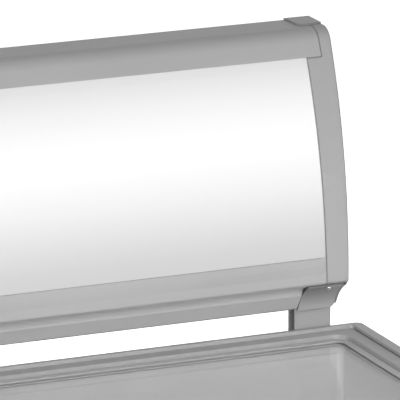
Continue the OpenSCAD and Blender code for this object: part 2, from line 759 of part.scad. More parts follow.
// Drain in the tank's floor
module drain_spout() {
  color(plastic_grey) translate([drain_x, drain_y, 0]) difference() {
    union() {
      translate([0, 0, base_z - 2]) cylinder(r = drain_r, h = tank_z - sheet - gap - base_z + 2);
      // Nozzle for a hose
      translate([0, 0, base_z - 26]) cylinder(r = drain_r - 1.5, h = 25);
    }
    translate([0, 0, base_z - 30]) cylinder(r = drain_r - 3, h = tank_z);
  }
}
module drain_plug() {
  color([0.85, 0.85, 0.85]) translate([drain_x, drain_y, 0]) union() {
    translate([0, 0, tank_z + gap]) cylinder(r1 = drain_r + 5, r2 = drain_r + 3, h = 4);
    translate([0, 0, tank_z - 16]) cylinder(r = drain_r - 3 - run, h = 18);
    translate([0, 0, tank_z + 3]) cylinder(r = 3, h = 9);
    translate([0, 0, tank_z + 11]) sphere(5);
  }
}

// Castors
module at_castors() {
  for (x = castor_xs, y = castor_ys) translate([x, y, 0]) children();
}
module castor_plates() {
  color(steel) at_castors() union() {
    difference() {
      translate([-32, -32, castor_h - mount_t]) cube([64, 64, mount_t]);
      for (x = [-1, 1], y = [-1, 1]) translate([x * 25, y * 25, 0]) cylinder(r = 3.3, h = 90);
    }
    // Screws through the plate's corners
    for (x = [-1, 1], y = [-1, 1]) translate([x * 25, y * 25, castor_h - mount_t - 4])
      union() {
        cylinder(r = 5.5, h = 4, $fn = 6);
        cylinder(r = 3.3, h = 4 + mount_t);
      }
    // Raceway and king pin
    translate([0, 0, fork_top + gap]) cylinder(r = 21, h = castor_h - mount_t - fork_top - gap);
    translate([0, 0, fork_top - fork_t - 3]) cylinder(r = king_r, h = fork_t + 8);
    translate([0, 0, fork_top - fork_t - 3]) cylinder(r = king_r + 4, h = 3 - gap);
  }
}
module castor_fork(x, y) {
  fork_in = wheel_w / 2 + 1;
  axle_z = wheel_d / 2;
  color(steel) translate([x, y, 0]) difference() {
    union() {
      // Cap round the raceway
      translate([0, 0, fork_top - fork_t]) cylinder(r = 24, h = fork_t);
      // Legs that sweep back to the axle
      for (s = [-1, 1]) translate([s * (fork_in + fork_t / 2) - fork_t / 2, 0, 0])
        along_x(0, fork_t) polygon([
          [-20, fork_top - fork_t / 2], [20, fork_top - fork_t / 2],
          [castor_trail + 9, axle_z + 4], [castor_trail + 6, axle_z - 8],
          [castor_trail - 6, axle_z - 8], [castor_trail - 11, axle_z + 4]
        ]);
      rod_x(castor_trail, axle_z, axle_r, -fork_in - fork_t - 2, fork_in + fork_t + 2);
      for (s = [-1, 1]) rod_x(castor_trail, axle_z, 6.5,
        s > 0 ? fork_in + fork_t : -fork_in - fork_t - 4,
        s > 0 ? fork_in + fork_t + 4 : -fork_in - fork_t);
    }
    translate([0, 0, fork_top - fork_t - 1]) cylinder(r = king_r + run, h = fork_t + 2);
  }
}
module castor_wheel(x, y) {
  color([0.25, 0.25, 0.26]) translate([x - wheel_w / 2, y + castor_trail, wheel_d / 2])
    rotate([0, 90, 0]) rotate_extrude() polygon([
      [axle_r + run, -0.5], [8, -0.5], [10, 3], [wheel_d / 2 - 9, 3],
      [wheel_d / 2 - 7, 0], [wheel_d / 2 - 2, 0], [wheel_d / 2, 4],
      [wheel_d / 2, wheel_w - 4], [wheel_d / 2 - 2, wheel_w], [wheel_d / 2 - 7, wheel_w],
      [wheel_d / 2 - 9, wheel_w - 3], [10, wheel_w - 3], [8, wheel_w + 0.5],
      [axle_r + run, wheel_w + 0.5]
    ]);
}

// Sliding lids. Each frame holds its glass in a groove
module lid_frame(x0, x1, d, r_out, r_in, z) {
  w = x1 - x0;
  xc = (x0 + x1) / 2;
  translate([xc, 0, 0]) difference() {
    ring(w, d, r_out, w - 2 * lid_bar, d - 2 * lid_bar, r_in, z, z + lid_h);
    slab(w - 2 * lid_bar + 2 * glass_bite, d - 2 * lid_bar + 2 * glass_bite, glass_r,
         z + lid_floor, z + lid_floor + glass_t + gap);
  }
}
module lid_glass(x0, x1, d, z) {
  w = x1 - x0 - 2 * lid_bar + 2 * glass_bite - 2 * gap;
  translate([(x0 + x1) / 2, 0, 0])
    slab(w, d - 2 * lid_bar + 2 * glass_bite - 2 * gap, glass_r,
         z + lid_floor + gap / 2, z + lid_floor + gap / 2 + glass_t);
}
// Low grip on the end bar: a pad over the glass with a raised ridge
module lid_handle(x, z) {
  over = lid_floor + glass_t + gap - lid_h;
  color(dark) translate([x, 0, z + lid_h + gap / 2])
    along_y(rim_yc - handle_l / 2, rim_yc + handle_l / 2) polygon(concat(
      [[1, 0], [lid_bar + 0.5, 0], [lid_bar + 0.5, over], [handle_w, over],
       [handle_w, 1]],
      arc([handle_w - 4, 1], 4, 0, 120, 5),
      [[lid_bar + 6, 1.4], [lid_bar - 4, 1], [lid_bar - 7, 2.4], [2.5, 2.4], [1, 1.2]]
    ));
}
module left_lid_frame() {
  color(plastic_grey) lid_frame(upper_lid_x0, upper_lid_x1, upper_lid_d, step_r - 1, 12, upper_lid_z);
}
module right_lid_frame() {
  color(plastic_grey) lid_frame(lower_lid_x0, lower_lid_x1, lower_lid_d, lip_r - side_gap, 12, lower_lid_z);
}
module left_lid_glass() {
  color([0.8, 0.9, 0.9, 0.35]) lid_glass(upper_lid_x0, upper_lid_x1, upper_lid_d, upper_lid_z);
}
module right_lid_glass() {
  color([0.8, 0.9, 0.9, 0.35]) lid_glass(lower_lid_x0, lower_lid_x1, lower_lid_d, lower_lid_z);
}
module left_lid_handle() {
  lid_handle(upper_lid_x0, upper_lid_z);
}
module right_lid_handle() {
  left_copy() lid_handle(-lower_lid_x1, lower_lid_z);
}
module centre_seal() {
  color([0.2, 0.2, 0.2]) block(upper_lid_x1 - 9, upper_lid_x1 - 5,
    rim_yc - lip_d / 2 + 4, rim_yc + lip_d / 2 - 4,
    lower_lid_z + lid_h + gap, upper_lid_z - 0.05);
}

// Canopy
module top_rail() {
  x = half_w - band_w;
  color(plastic_grey) in_canopy() along_x(-x, x) polygon(concat(
    front_line(glow_high, face_top_z - 2, 0, 6), nose_line(0, 10),
    [[canopy_d, canopy_h], [canopy_d, canopy_h - 26], [canopy_d - skin, canopy_h - 26],
     [canopy_d - skin, canopy_h - skin]],
    // Stiffening rib under the flat top
    [[canopy_d - 28, canopy_h - skin], [canopy_d - 28, canopy_h - 12],
     [canopy_d - 30, canopy_h - 12], [canopy_d - 30, canopy_h - skin]],
    backwards(nose_line(skin, 10)),
    backwards(front_line(glow_high, face_top_z - 2, skin, 6))
  ));
}
module bottom_rail() {
  x = half_w - flange_w;
  color(plastic_grey) in_canopy() along_x(-x, x) polygon(front_wall(glow_low, 3));
}
// Long moulding under the rail: a cove, a crease and a flat facet down to the floor
small_cove = [canopy_over - 41, -20.5];
small_r = 18.2;
seat_z = foot_c.y - foot_r - gap;
module lower_moulding() {
  x = half_w - bracket_in - bracket_w - gap;
  x_back = post_x0 - 5.5;
  color(plastic_grey) in_canopy() union() {
    along_x(-x, x) polygon(concat(
      [[small_cove.x - 4, seat_z]],
      arc(small_cove, small_r, 85, 2, 8),
      [[canopy_over - 5, -tail + 1.5], [canopy_over - 5, -tail],
       [canopy_over - 2, -tail], [canopy_over - 2, -tail + 2]],
      arc(small_cove, small_r + skin, 4, 80, 8),
      [[small_cove.x + 3, seat_z]]
    ));
    // Flange under the canopy's floor, between the posts
    block(-x_back, x_back, canopy_over - 4, canopy_over + 26, -tail, -tail + 2);
  }
}
module canopy_back_panel() {
  color(sheet_grey) in_canopy() union() {
    x = half_w - 5;
    block(-x, x, canopy_d - skin - gap - 1.5, canopy_d - skin - gap, -tail + 2, canopy_h - skin - gap);
    block(-x, x, canopy_over + 27, canopy_d - skin - gap, -tail, -tail + 2);
  }
}
// Deep sheet brackets that tie the canopy's back to the posts
module post_brackets() {
  y0 = canopy_over + gap + post_d + gap / 2;
  y1 = canopy_d - skin - 2 * gap - 1.5;
  color(steel) in_canopy() for (s = [-1, 1]) mirror([s < 0 ? 1 : 0, 0, 0])
    translate([post_x0 + 8, 0, 0]) difference() {
      block(0, post_w - 16, y0, y1, tie_z0, tie_z1);
      block(2, post_w - 18, y0 + 2, y1 - 2, tie_z0 - 1, tie_z1 + 1);
      // Window in the wall against the canopy's back
      block(10, post_w - 26, y1 - 5, y1 + 1, tie_z0 + tie_screw, tie_z1 - tie_screw);
    }
}
module diffuser_panel() {
  x = half_w - flange_w + 6;
  t0 = skin + gap;
  t1 = skin + gap + diffuser_t;
  color([0.95, 0.95, 0.96]) in_canopy() along_x(-x, x) polygon(concat(
    front_line(glow_low - 8, glow_high + 8, t0, 14),
    backwards(front_line(glow_low - 8, glow_high + 8, t1, 14))
  ));
}
// Half-space under a plane that leans outwards with the canopy's side
module lean(x_off) {
  translate([half_w + x_off, -canopy_d / 2, 0]) rotate([0, flare_a, 0])
    translate([-canopy_d, 0, -canopy_d]) cube([canopy_d, 2 * canopy_d, canopy_h + 2 * canopy_d]);
}
tab_x0 = half_w - 31;
tab_y0 = canopy_d - 48;
tab_t = 2.5;
module end_cap() {
  color(plastic_grey) in_canopy() union() {
    // Side wall
    difference() {
      intersection() {
        along_x(half_w - 20, half_w + 20) polygon(side_outline);
        lean(0);
      }
      lean(-skin);
    }
    // Front flange beside the diffuser
    intersection() {
      along_x(half_w - flange_w + gap, half_w + 20)
        polygon(front_wall(glow_high - gap, 12));
      lean(0);
    }
    // Band round the nose and the top
    intersection() {
      along_x(half_w - band_w + gap, half_w + 20) polygon(concat(
        front_line(glow_high - 4, face_top_z - 2, 0, 3), nose_line(0, 10),
        [[canopy_d, canopy_h], [canopy_d, -tail], [canopy_d - skin, -tail],
         [canopy_d - skin, canopy_h - skin]],
        backwards(nose_line(skin, 10)),
        backwards(front_line(glow_high - 4, face_top_z - 2, skin, 3))
      ));
      lean(0);
    }
    // Raised tab on the top
    intersection() {
      translate([0, 0, canopy_h]) linear_extrude(tab_t) polygon([
        [tab_x0 - 3, canopy_d], [half_w + 20, canopy_d], [half_w + 20, tab_y0 + 6],
        [half_w, tab_y0 + 2], [half_w - 3, tab_y0], [tab_x0 + 4, tab_y0], [tab_x0, tab_y0 + 5]
      ]);
      lean(0);
    }
  }
}
module right_end_cap() {
  end_cap();
}
module left_end_cap() {
  left_copy() end_cap();
}
module corner_bracket() {
  x1 = half_w - bracket_in;
  x0 = x1 - bracket_w;
  foot = bracket_foot;
  color(plastic_grey) in_canopy() difference() {
    along_x(x0, x1) polygon(concat(
      [[foot_c.x + 3.2, seat_z]],
      arc(cove_c, cove_r, cove_top, asin((foot - cove_c.y) / cove_r), 14),
      [[canopy_over, foot], [canopy_over, foot + 14], [canopy_over - 1.8, foot + 14],
       [canopy_over - 1.8, foot + bracket_t]],
      arc(cove_c, cove_r + bracket_t,
          asin((foot + bracket_t - cove_c.y) / (cove_r + bracket_t)), cove_top - 4, 12),
      [[foot_c.x + 6.2, seat_z]]
    ));
    // Rounded lower corner beside the canopy's end
    difference() {
      block(x1 - 8, x1 + 1, -5, 60, foot - 1, foot + 8);
      translate([x1 - 8, 0, foot + 8]) rotate([-90, 0, 0]) cylinder(r = 8, h = 60);
    }
  }
}
module right_corner_bracket() {
  corner_bracket();
}
module left_corner_bracket() {
  left_copy() corner_bracket();
}
// Channel with its open side towards the middle of the freezer
module post() {
  color(plastic_grey) translate([0, 0, post_z0]) linear_extrude(post_z1 - post_z0)
    difference() {
      translate([post_x0, post_y0]) square([post_w, post_d]);
      translate([post_x0 - 1, post_y0 + post_t]) square([post_w - post_t + 1, post_d - 2 * post_t]);
    }
}
module right_post() {
  difference() {
    post();
    bolt_holes(post_x0 + post_w / 2);
  }
}
module left_post() {
  left_copy() right_post();
}
bolt_r = 3;
module bolt_holes(x) {
  for (z = bolt_heights) rod_y(x, z, bolt_r + 0.2, post_y0 - 5, post_y1 + 5);
}
module post_bolts() {
  color(steel) for (s = [-1, 1], z = bolt_heights) {
    x = s * (post_x0 + post_w / 2);
    // Spacer against the back panel, shank and head
    difference() {
      rod_y(x, z, 9, shell_y1 + gap / 2, post_y0 - gap / 2);
      rod_y(x, z, bolt_r, shell_y1 - 1, post_y0 + 1);
    }
    rod_y(x, z, bolt_r, shell_y1 - sheet - gap / 2, post_y0 + post_t + 1);
    rod_y(x, z, 6.5, post_y0 + post_t + gap / 2, post_y0 + post_t + 5);
  }
}

// Light inside the canopy
lamp_l = canopy_w - 210;
lamp_r = 13;
lamp_back = 52;
lamp_up = 76;
lamp_y = canopy_d - lamp_back;
lamp_zs = [glow_low + lamp_up, glow_high - lamp_up];
module lamp_tubes() {
  color([0.98, 0.98, 0.95]) in_canopy() for (z = lamp_zs) union() {
    rod_x(lamp_y, z, lamp_r, -lamp_l / 2, lamp_l / 2);
    for (s = [-1, 1], p = [-6, 6])
      rod_x(lamp_y, z + p, 1.2, s > 0 ? lamp_l / 2 : -lamp_l / 2 - 7,
            s > 0 ? lamp_l / 2 + 7 : -lamp_l / 2);
  }
}
module lamp_holders() {
  back = canopy_d - skin - gap - 1.5 - gap / 2;
  color([0.9, 0.9, 0.9]) in_canopy() for (z = lamp_zs, s = [-1, 1])
    translate([s * (lamp_l / 2 + 0.2), 0, z]) mirror([s < 0 ? 1 : 0, 0, 0]) difference() {
      union() {
        block(0, 14, lamp_y, back, -14, 14);
        rod_x(lamp_y, 0, 16, 0, 14);
        block(-24, 14, back - 3, back, -14, 14);
      }
      for (p = [-6, 6]) rod_x(lamp_y, p, 1.4, -1, 8);
    }
}
module lamp_driver() {
  back = canopy_d - skin - gap - 1.5 - gap / 2;
  z = (glow_low + glow_high) / 2;
  color([0.85, 0.85, 0.85]) in_canopy() union() {
    block(-110, 110, back - 32, back, z - 19, z + 19);
    block(-130, 130, back - 2, back, z - 13, z + 13);
  }
}
dome_r = 5;
dome_a = 58;
dome_in = 28.5;
module canopy_screws() {
  color(steel) in_canopy() for (s = [-1, 1]) {
    // Polished dome head in the cove of the corner bracket
    translate([s * (half_w - dome_in), cove_c.x, cove_c.y]) rotate([90 + dome_a, 0, 0])
      translate([0, 0, gap - cove_r]) intersection() {
        translate([0, 0, -2]) sphere(dome_r);
        cylinder(r = dome_r + 1, h = dome_r);
      }
    // Screws that hold the post brackets
    for (z = [tie_z0 + tie_screw, tie_z1 - tie_screw]) rod_y(s * (post_x0 + post_w / 2), z, 5,
      canopy_over + gap + post_d + gap + 2, canopy_over + gap + post_d + 6);
  }
}

// Every piece by name
front_panel();
left_copy() right_side_panel();  // left_side_panel
right_side_panel();
back_panel();
foam_insulation();
inner_liner();
top_frame();
base_plate();
front_grille();
rear_grille();
control_fascia();
thermostat_body();
indicator_lamps();
compressor();
compressor_mounts();
condenser_coil();
fan_motor();
fan_shroud();
filter_drier();
refrigerant_pipes();
evaporator_coil();
drain_spout();
castor_plates();
left_post();
right_post();
post_bolts();
top_rail();
bottom_rail();
lower_moulding();
canopy_back_panel();
diffuser_panel();
left_end_cap();
right_end_cap();
left_corner_bracket();
right_corner_bracket();
lamp_tubes();
lamp_holders();
lamp_driver();
canopy_screws();
post_brackets();
cable_gland();
left_lid_frame();
left_lid_glass();
left_lid_handle();
right_lid_frame();
right_lid_glass();
right_lid_handle();
centre_seal();
thermostat_knob();
power_switch();
fan_blade();
drain_plug();
castor_fork(castor_xs[0], castor_ys[0]);  // castor_fork_front_left
castor_fork(castor_xs[1], castor_ys[0]);  // castor_fork_front_right
castor_fork(castor_xs[0], castor_ys[1]);  // castor_fork_back_left
castor_fork(castor_xs[1], castor_ys[1]);  // castor_fork_back_right
castor_wheel(castor_xs[0], castor_ys[0]);  // castor_wheel_front_left
castor_wheel(castor_xs[1], castor_ys[0]);  // castor_wheel_front_right
castor_wheel(castor_xs[0], castor_ys[1]);  // castor_wheel_back_left
castor_wheel(castor_xs[1], castor_ys[1]);  // castor_wheel_back_right
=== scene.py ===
# %% [markdown]
# # A chest freezer for ice cream
#
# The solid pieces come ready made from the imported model. This lesson gives them light,
# finishes and the small things that a drawing of solids leaves out, such as screw heads,
# dial marks and rounded edges. Everything is in metres, with the front towards -Y.

# %% Load the frame
import math
import random
import json

import bpy
import bmesh
from mathutils import Matrix, Vector


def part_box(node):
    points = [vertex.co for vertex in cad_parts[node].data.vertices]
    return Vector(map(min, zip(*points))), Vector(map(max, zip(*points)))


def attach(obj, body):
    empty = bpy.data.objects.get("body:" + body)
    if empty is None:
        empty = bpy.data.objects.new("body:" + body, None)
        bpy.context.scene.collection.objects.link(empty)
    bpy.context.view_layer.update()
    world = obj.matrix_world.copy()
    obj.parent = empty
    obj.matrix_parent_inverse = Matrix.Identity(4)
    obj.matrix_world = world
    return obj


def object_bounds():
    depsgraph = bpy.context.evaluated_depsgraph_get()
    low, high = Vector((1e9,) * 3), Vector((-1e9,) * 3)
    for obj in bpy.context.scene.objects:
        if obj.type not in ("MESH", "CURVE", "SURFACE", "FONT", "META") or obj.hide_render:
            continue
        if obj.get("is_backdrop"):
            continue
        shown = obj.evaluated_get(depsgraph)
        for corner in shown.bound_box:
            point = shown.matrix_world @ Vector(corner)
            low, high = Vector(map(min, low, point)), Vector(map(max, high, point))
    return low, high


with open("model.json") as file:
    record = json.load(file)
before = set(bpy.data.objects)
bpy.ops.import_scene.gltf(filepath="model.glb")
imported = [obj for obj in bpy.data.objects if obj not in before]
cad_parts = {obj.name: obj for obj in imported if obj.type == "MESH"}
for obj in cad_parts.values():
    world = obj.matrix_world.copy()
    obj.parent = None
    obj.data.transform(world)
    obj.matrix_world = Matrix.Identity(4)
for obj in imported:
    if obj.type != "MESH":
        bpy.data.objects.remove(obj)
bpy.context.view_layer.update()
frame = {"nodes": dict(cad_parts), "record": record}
nodes = frame["nodes"]

# %% [markdown]
# ## Camera
#
# The photograph is a close crop taken from far away with a long lens, so lines hardly
# converge. The place, the turn and the focal length were fitted to the edges of the canopy
# and of the top frame. Lens shift isn't needed, so the camera looks straight at the crop.

# %% Camera
scene = bpy.context.scene
camera = bpy.data.objects.new("camera", bpy.data.cameras.new("camera"))
scene.collection.objects.link(camera)
camera.location = (-2.62387, -6.77982, 3.18674)
camera.rotation_euler = [math.radians(angle) for angle in (74.6545, -0.2013, -23.6949)]
camera.data.sensor_width = 36
camera.data.lens = 480.17
camera.data.clip_end = 80
scene.camera = camera
print("camera at", [round(v, 3) for v in camera.location])

# %% [markdown]
# ## Light and floor
#
# Upright faces at the front are the brightest, flat tops are darker, and no lamp leaves a hard
# shadow. A broad lamp stands level with the canopy, a larger one stands high in front, and a
# long narrow one close to the front lifts the canopy's lower mouldings. A thin one aims at the
# back wall of the tank. Lamps on the left, on the right and behind light the other sides. The
# background is white for the camera, in gloss and through glass. For diffuse light the room is
# much dimmer, so the white doesn't wash out the shading.

# %% Helpers for shader nodes
scene.view_settings.view_transform = "Standard"


def link(tree, output, socket):
    tree.links.new(output, socket)


def add(tree, kind, settings=None, **sockets):
    """Adds a node. Sockets are named with underscores, and take a value or another output."""
    made = tree.nodes.new(kind)
    for name, value in (settings or {}).items():
        setattr(made, name, value)
    for name, value in sockets.items():
        key = int(name[1:]) if name[0] == "i" and name[1:].isdigit() else name.replace("_", " ")
        socket = made.inputs[key]
        if isinstance(value, bpy.types.NodeSocket):
            link(tree, value, socket)
        else:
            socket.default_value = value
    return made


def object_spot(tree):
    return add(tree, "ShaderNodeTexCoord").outputs["Object"]


def white_when_seen(tree, surface, white_shader):
    """Shows the white shader to the camera, in gloss and through glass, and the other elsewhere."""
    path = add(tree, "ShaderNodeLightPath")
    seen = add(tree, "ShaderNodeMath", {"operation": "MAXIMUM"},
               i0=path.outputs["Is Camera Ray"], i1=path.outputs["Is Glossy Ray"])
    seen = add(tree, "ShaderNodeMath", {"operation": "MAXIMUM"},
               i0=seen.outputs[0], i1=path.outputs["Is Transmission Ray"])
    mix = add(tree, "ShaderNodeMixShader", i0=seen.outputs[0], i1=surface, i2=white_shader)
    return mix.outputs[0]


# %% The room
LIGHT_ABOVE = 0.09
LIGHT_AT_HORIZON = 0.33
world = bpy.data.worlds.new("room")
scene.world = world
world.use_nodes = True
tree = world.node_tree
tree.nodes.clear()
way = add(tree, "ShaderNodeTexCoord").outputs["Generated"]
upward = add(tree, "ShaderNodeSeparateXYZ", Vector=way).outputs["Z"]
level = add(tree, "ShaderNodeMapRange", Value=upward, From_Min=0.0, From_Max=0.6,
            To_Min=LIGHT_AT_HORIZON, To_Max=LIGHT_ABOVE)
room = add(tree, "ShaderNodeBackground", Color=(1, 1, 1, 1), Strength=level.outputs[0])
white = add(tree, "ShaderNodeBackground", Color=(1, 1, 1, 1), Strength=1.0)
out = add(tree, "ShaderNodeOutputWorld")
link(tree, white_when_seen(tree, room.outputs[0], white.outputs[0]), out.inputs[0])
print("made", world.name)

# %% Lamps
LEVEL_LIGHT = 33.0
HIGH_LIGHT = 72.0
STRIP_LIGHT = 0.8
TANK_LIGHT = 0.9
LEFT_LIGHT = 35.0
REAR_LIGHT = 45.0


def lamp(name, place, aim, size, power, spread=180, mirrored=True):
    data = bpy.data.lights.new(name, "AREA")
    data.shape = "RECTANGLE"
    data.size, data.size_y = size
    data.spread = math.radians(spread)
    data.energy = power
    made = bpy.data.objects.new(name, data)
    scene.collection.objects.link(made)
    made.location = place
    made.rotation_euler = (Vector(aim) - Vector(place)).to_track_quat("-Z", "Y").to_euler()
    made.visible_camera = False
    made.visible_glossy = mirrored


lamp("level_softbox", (0.2, -4.2, 1.1), (0.2, 0.0, 1.05), (4.4, 0.8), LEVEL_LIGHT)
lamp("high_softbox", (0.2, -3.4, 4.0), (0.2, 0.0, 0.8), (3.0, 1.6), HIGH_LIGHT)
lamp("strip_light", (0.0, -0.7, 0.875), (0.0, 0.25, 1.02), (2.0, 0.05), STRIP_LIGHT, 50)
lamp("tank_light", (0.2, -1.5, 1.68), (0.2, 0.225, 0.5), (1.8, 0.15), TANK_LIGHT, 40)
# The flat lids would mirror the next three whole, and hide the tank from the sides
lamp("left_softbox", (-4.0, -0.8, 1.5), (0.2, 0.0, 1.0), (2.4, 1.2), LEFT_LIGHT, mirrored=False)
lamp("right_softbox", (4.0, 1.2, 1.2), (0.7, 0.0, 0.6), (2.6, 1.6), REAR_LIGHT, mirrored=False)
lamp("rear_softbox", (-0.3, 4.2, 1.3), (0.0, 0.2, 0.7), (4.0, 1.6), REAR_LIGHT, mirrored=False)

# %% Floor
floor_mesh = bpy.data.meshes.new("floor")
floor_mesh.from_pydata([(-9, -9, 0), (9, -9, 0), (9, 9, 0), (-9, 9, 0)], [], [(0, 1, 2, 3)])
floor = bpy.data.objects.new("floor", floor_mesh)
scene.collection.objects.link(floor)
floor_finish = bpy.data.materials.new("pale_floor")
floor_finish.use_nodes = True
tree = floor_finish.node_tree
tree.nodes.clear()
# A white floor that still takes the object's shadow
speck = add(tree, "ShaderNodeTexNoise", Scale=6.0, Detail=2.0)
tone = add(tree, "ShaderNodeMapRange", Value=speck.outputs[0], To_Min=0.93, To_Max=0.97)
paper = add(tree, "ShaderNodeBsdfDiffuse")
tint = add(tree, "ShaderNodeCombineColor", Red=tone.outputs[0], Green=tone.outputs[0],
           Blue=tone.outputs[0])
link(tree, tint.outputs[0], paper.inputs["Color"])
# The further from the freezer, the whiter the floor looks to the camera
far = add(tree, "ShaderNodeVectorMath", {"operation": "LENGTH"}, i0=object_spot(tree))
level = add(tree, "ShaderNodeMapRange", Value=far.outputs["Value"], From_Min=1.2, From_Max=3.0,
            To_Min=0.6, To_Max=1.0)
glow = add(tree, "ShaderNodeEmission", Color=(1, 1, 1, 1), Strength=level.outputs[0])
both = add(tree, "ShaderNodeAddShader", i0=paper.outputs[0], i1=glow.outputs[0])
out = add(tree, "ShaderNodeOutputMaterial")
link(tree, white_when_seen(tree, paper.outputs[0], both.outputs[0]), out.inputs[0])
floor_mesh.materials.append(floor_finish)
floor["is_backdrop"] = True
print("made", floor_finish.name)

# %% [markdown]
# ## Effects that many finishes share
#
# Grain, cloudy tone, dust, dirt with painted shade in the seams, and worn edges come back in most
# finishes, and painted light and shade that follow the height in four of them. Each is a shader
# group, made once and placed in a material with that material's own values. Two more groups serve
# one finish each: painted shade on the edges of the end caps, and drawn lines on the liner. A group
# only works out numbers and colours. The shader itself stays in the material.

# %% Helpers for shader groups
def times(tree, first, second):
    return add(tree, "ShaderNodeMath", {"operation": "MULTIPLY"}, i0=first, i1=second).outputs[0]


def scaled(tree, colour, factor):
    return add(tree, "ShaderNodeVectorMath", {"operation": "SCALE"}, i0=colour,
               Scale=factor).outputs[0]


def shader_group(name, inputs, outputs):
    """An empty group. Inputs are {name: default number or colour}, outputs {name: socket type}."""
    group = bpy.data.node_groups.new(name, "ShaderNodeTree")
    for label, value in inputs.items():
        kind = "NodeSocketColor" if isinstance(value, tuple) else "NodeSocketFloat"
        socket = group.interface.new_socket(label, in_out="INPUT", socket_type=kind)
        socket.default_value = value
    for label, kind in outputs.items():
        group.interface.new_socket(label, in_out="OUTPUT", socket_type=kind)
    start = group.nodes.new("NodeGroupInput")
    end = group.nodes.new("NodeGroupOutput")
    return group, start.outputs, end.inputs


def place_group(tree, group, **values):
    made = tree.nodes.new("ShaderNodeGroup")
    made.node_tree = group
    for name, value in values.items():
        socket = made.inputs[name.replace("_", " ")]
        if isinstance(value, bpy.types.NodeSocket):
            link(tree, value, socket)
        else:
            socket.default_value = value
    return made


def edge_mask(tree, width, samples, flat, sharp):
    """0 on flat faces and 1 on edges, from how far a rounded normal leans from the true one."""
    rounded = add(tree, "ShaderNodeBevel", {"samples": samples}, Radius=width)
    true_normal = add(tree, "ShaderNodeNewGeometry").outputs["Normal"]
    same = add(tree, "ShaderNodeVectorMath", {"operation": "DOT_PRODUCT"}, i0=rounded.outputs[0],
               i1=true_normal)
    return add(tree, "ShaderNodeMapRange", Value=same.outputs["Value"], From_Min=flat,
               From_Max=sharp, To_Min=0.0, To_Max=1.0).outputs[0]


# %% Moulded grain
grain, given, result = shader_group(
    "moulded_grain", {"Scale": 900.0, "Softness": 0.5}, {"Height": "NodeSocketFloat"})
where = object_spot(grain)
fine = add(grain, "ShaderNodeTexNoise", Vector=where, Scale=given["Scale"], Detail=2.0,
           Roughness=given["Softness"])
coarse = add(grain, "ShaderNodeTexNoise", Vector=where, Scale=times(grain, given["Scale"], 0.16),
             Detail=1.0)
both = add(grain, "ShaderNodeMath", {"operation": "MULTIPLY_ADD"}, i0=coarse.outputs[0], i1=0.4,
           i2=fine.outputs[0])
link(grain, both.outputs[0], result["Height"])
print("made", grain.name)

# %% Cloudy tone
cloudy, given, result = shader_group(
    "cloudy_tone", {"Colour": (0.5, 0.5, 0.5, 1), "Scale": 3.0, "Change": 0.06},
    {"Colour": "NodeSocketColor", "Tone": "NodeSocketFloat"})
patch = add(cloudy, "ShaderNodeTexNoise", Vector=object_spot(cloudy), Scale=given["Scale"],
            Detail=3.0)
low = add(cloudy, "ShaderNodeMath", {"operation": "SUBTRACT"}, i0=1.0, i1=given["Change"])
high = add(cloudy, "ShaderNodeMath", {"operation": "ADD"}, i0=1.0, i1=given["Change"])
tone = add(cloudy, "ShaderNodeMapRange", Value=patch.outputs[0], From_Min=0.3, From_Max=0.7,
           To_Min=low.outputs[0], To_Max=high.outputs[0])
link(cloudy, scaled(cloudy, given["Colour"], tone.outputs[0]), result["Colour"])
link(cloudy, patch.outputs[0], result["Tone"])
print("made", cloudy.name)

# %% Worn edges
worn, given, result = shader_group(
    "worn_edges", {"Width": 0.0012, "Amount": 0.5}, {"Mask": "NodeSocketFloat"})
edge = edge_mask(worn, given["Width"], 4, 0.995, 0.90)
patch = add(worn, "ShaderNodeTexNoise", Vector=object_spot(worn), Scale=38.0, Detail=4.0)
broken = add(worn, "ShaderNodeMapRange", Value=patch.outputs[0], From_Min=0.42, From_Max=0.62)
link(worn, times(worn, times(worn, edge, broken.outputs[0]), given["Amount"]), result["Mask"])
print("made", worn.name)

# %% Shaded edges
edges, given, result = shader_group(
    "shaded_edges", {"Width": 0.004, "Amount": 0.3}, {"Shade": "NodeSocketFloat"})
mask = times(edges, edge_mask(edges, given["Width"], 6, 0.99, 0.86), given["Amount"])
shade = add(edges, "ShaderNodeMath", {"operation": "SUBTRACT"}, i0=1.0, i1=mask)
link(edges, shade.outputs[0], result["Shade"])
print("made", edges.name)

# %% Dust on flat tops
dust, given, result = shader_group(
    "settled_dust", {"Amount": 0.3, "Scale": 14.0}, {"Mask": "NodeSocketFloat"})
place = add(dust, "ShaderNodeTexCoord")
up = add(dust, "ShaderNodeSeparateXYZ", Vector=place.outputs["Normal"])
upward_part = add(dust, "ShaderNodeMapRange", Value=up.outputs["Z"], From_Min=0.7, From_Max=1.0)
patch = add(dust, "ShaderNodeTexNoise", Vector=place.outputs["Object"], Scale=given["Scale"],
            Detail=5.0, Roughness=0.65)
uneven = add(dust, "ShaderNodeMapRange", Value=patch.outputs[0], From_Min=0.35, From_Max=0.75)
mask = times(dust, upward_part.outputs[0], uneven.outputs[0])
link(dust, times(dust, mask, given["Amount"]), result["Mask"])
print("made", dust.name)

# %% Dirt and painted shade in seams
seam, given, result = shader_group(
    "seam_dirt_and_shade", {"Reach": 0.012, "Amount": 0.5}, {"Shade": "NodeSocketFloat"})
# Dirt and painted shade: darker where ambient occlusion finds surfaces close by
near = add(seam, "ShaderNodeAmbientOcclusion", {"samples": 6}, Distance=given["Reach"])
open_part = add(seam, "ShaderNodeMapRange", Value=near.outputs["AO"], From_Min=0.25, From_Max=0.85)
hidden = add(seam, "ShaderNodeMath", {"operation": "SUBTRACT"}, i0=1.0, i1=open_part.outputs[0])
mask = times(seam, hidden.outputs[0], given["Amount"])
shade = add(seam, "ShaderNodeMath", {"operation": "SUBTRACT"}, i0=1.0, i1=mask)
link(seam, shade.outputs[0], result["Shade"])
print("made", seam.name)
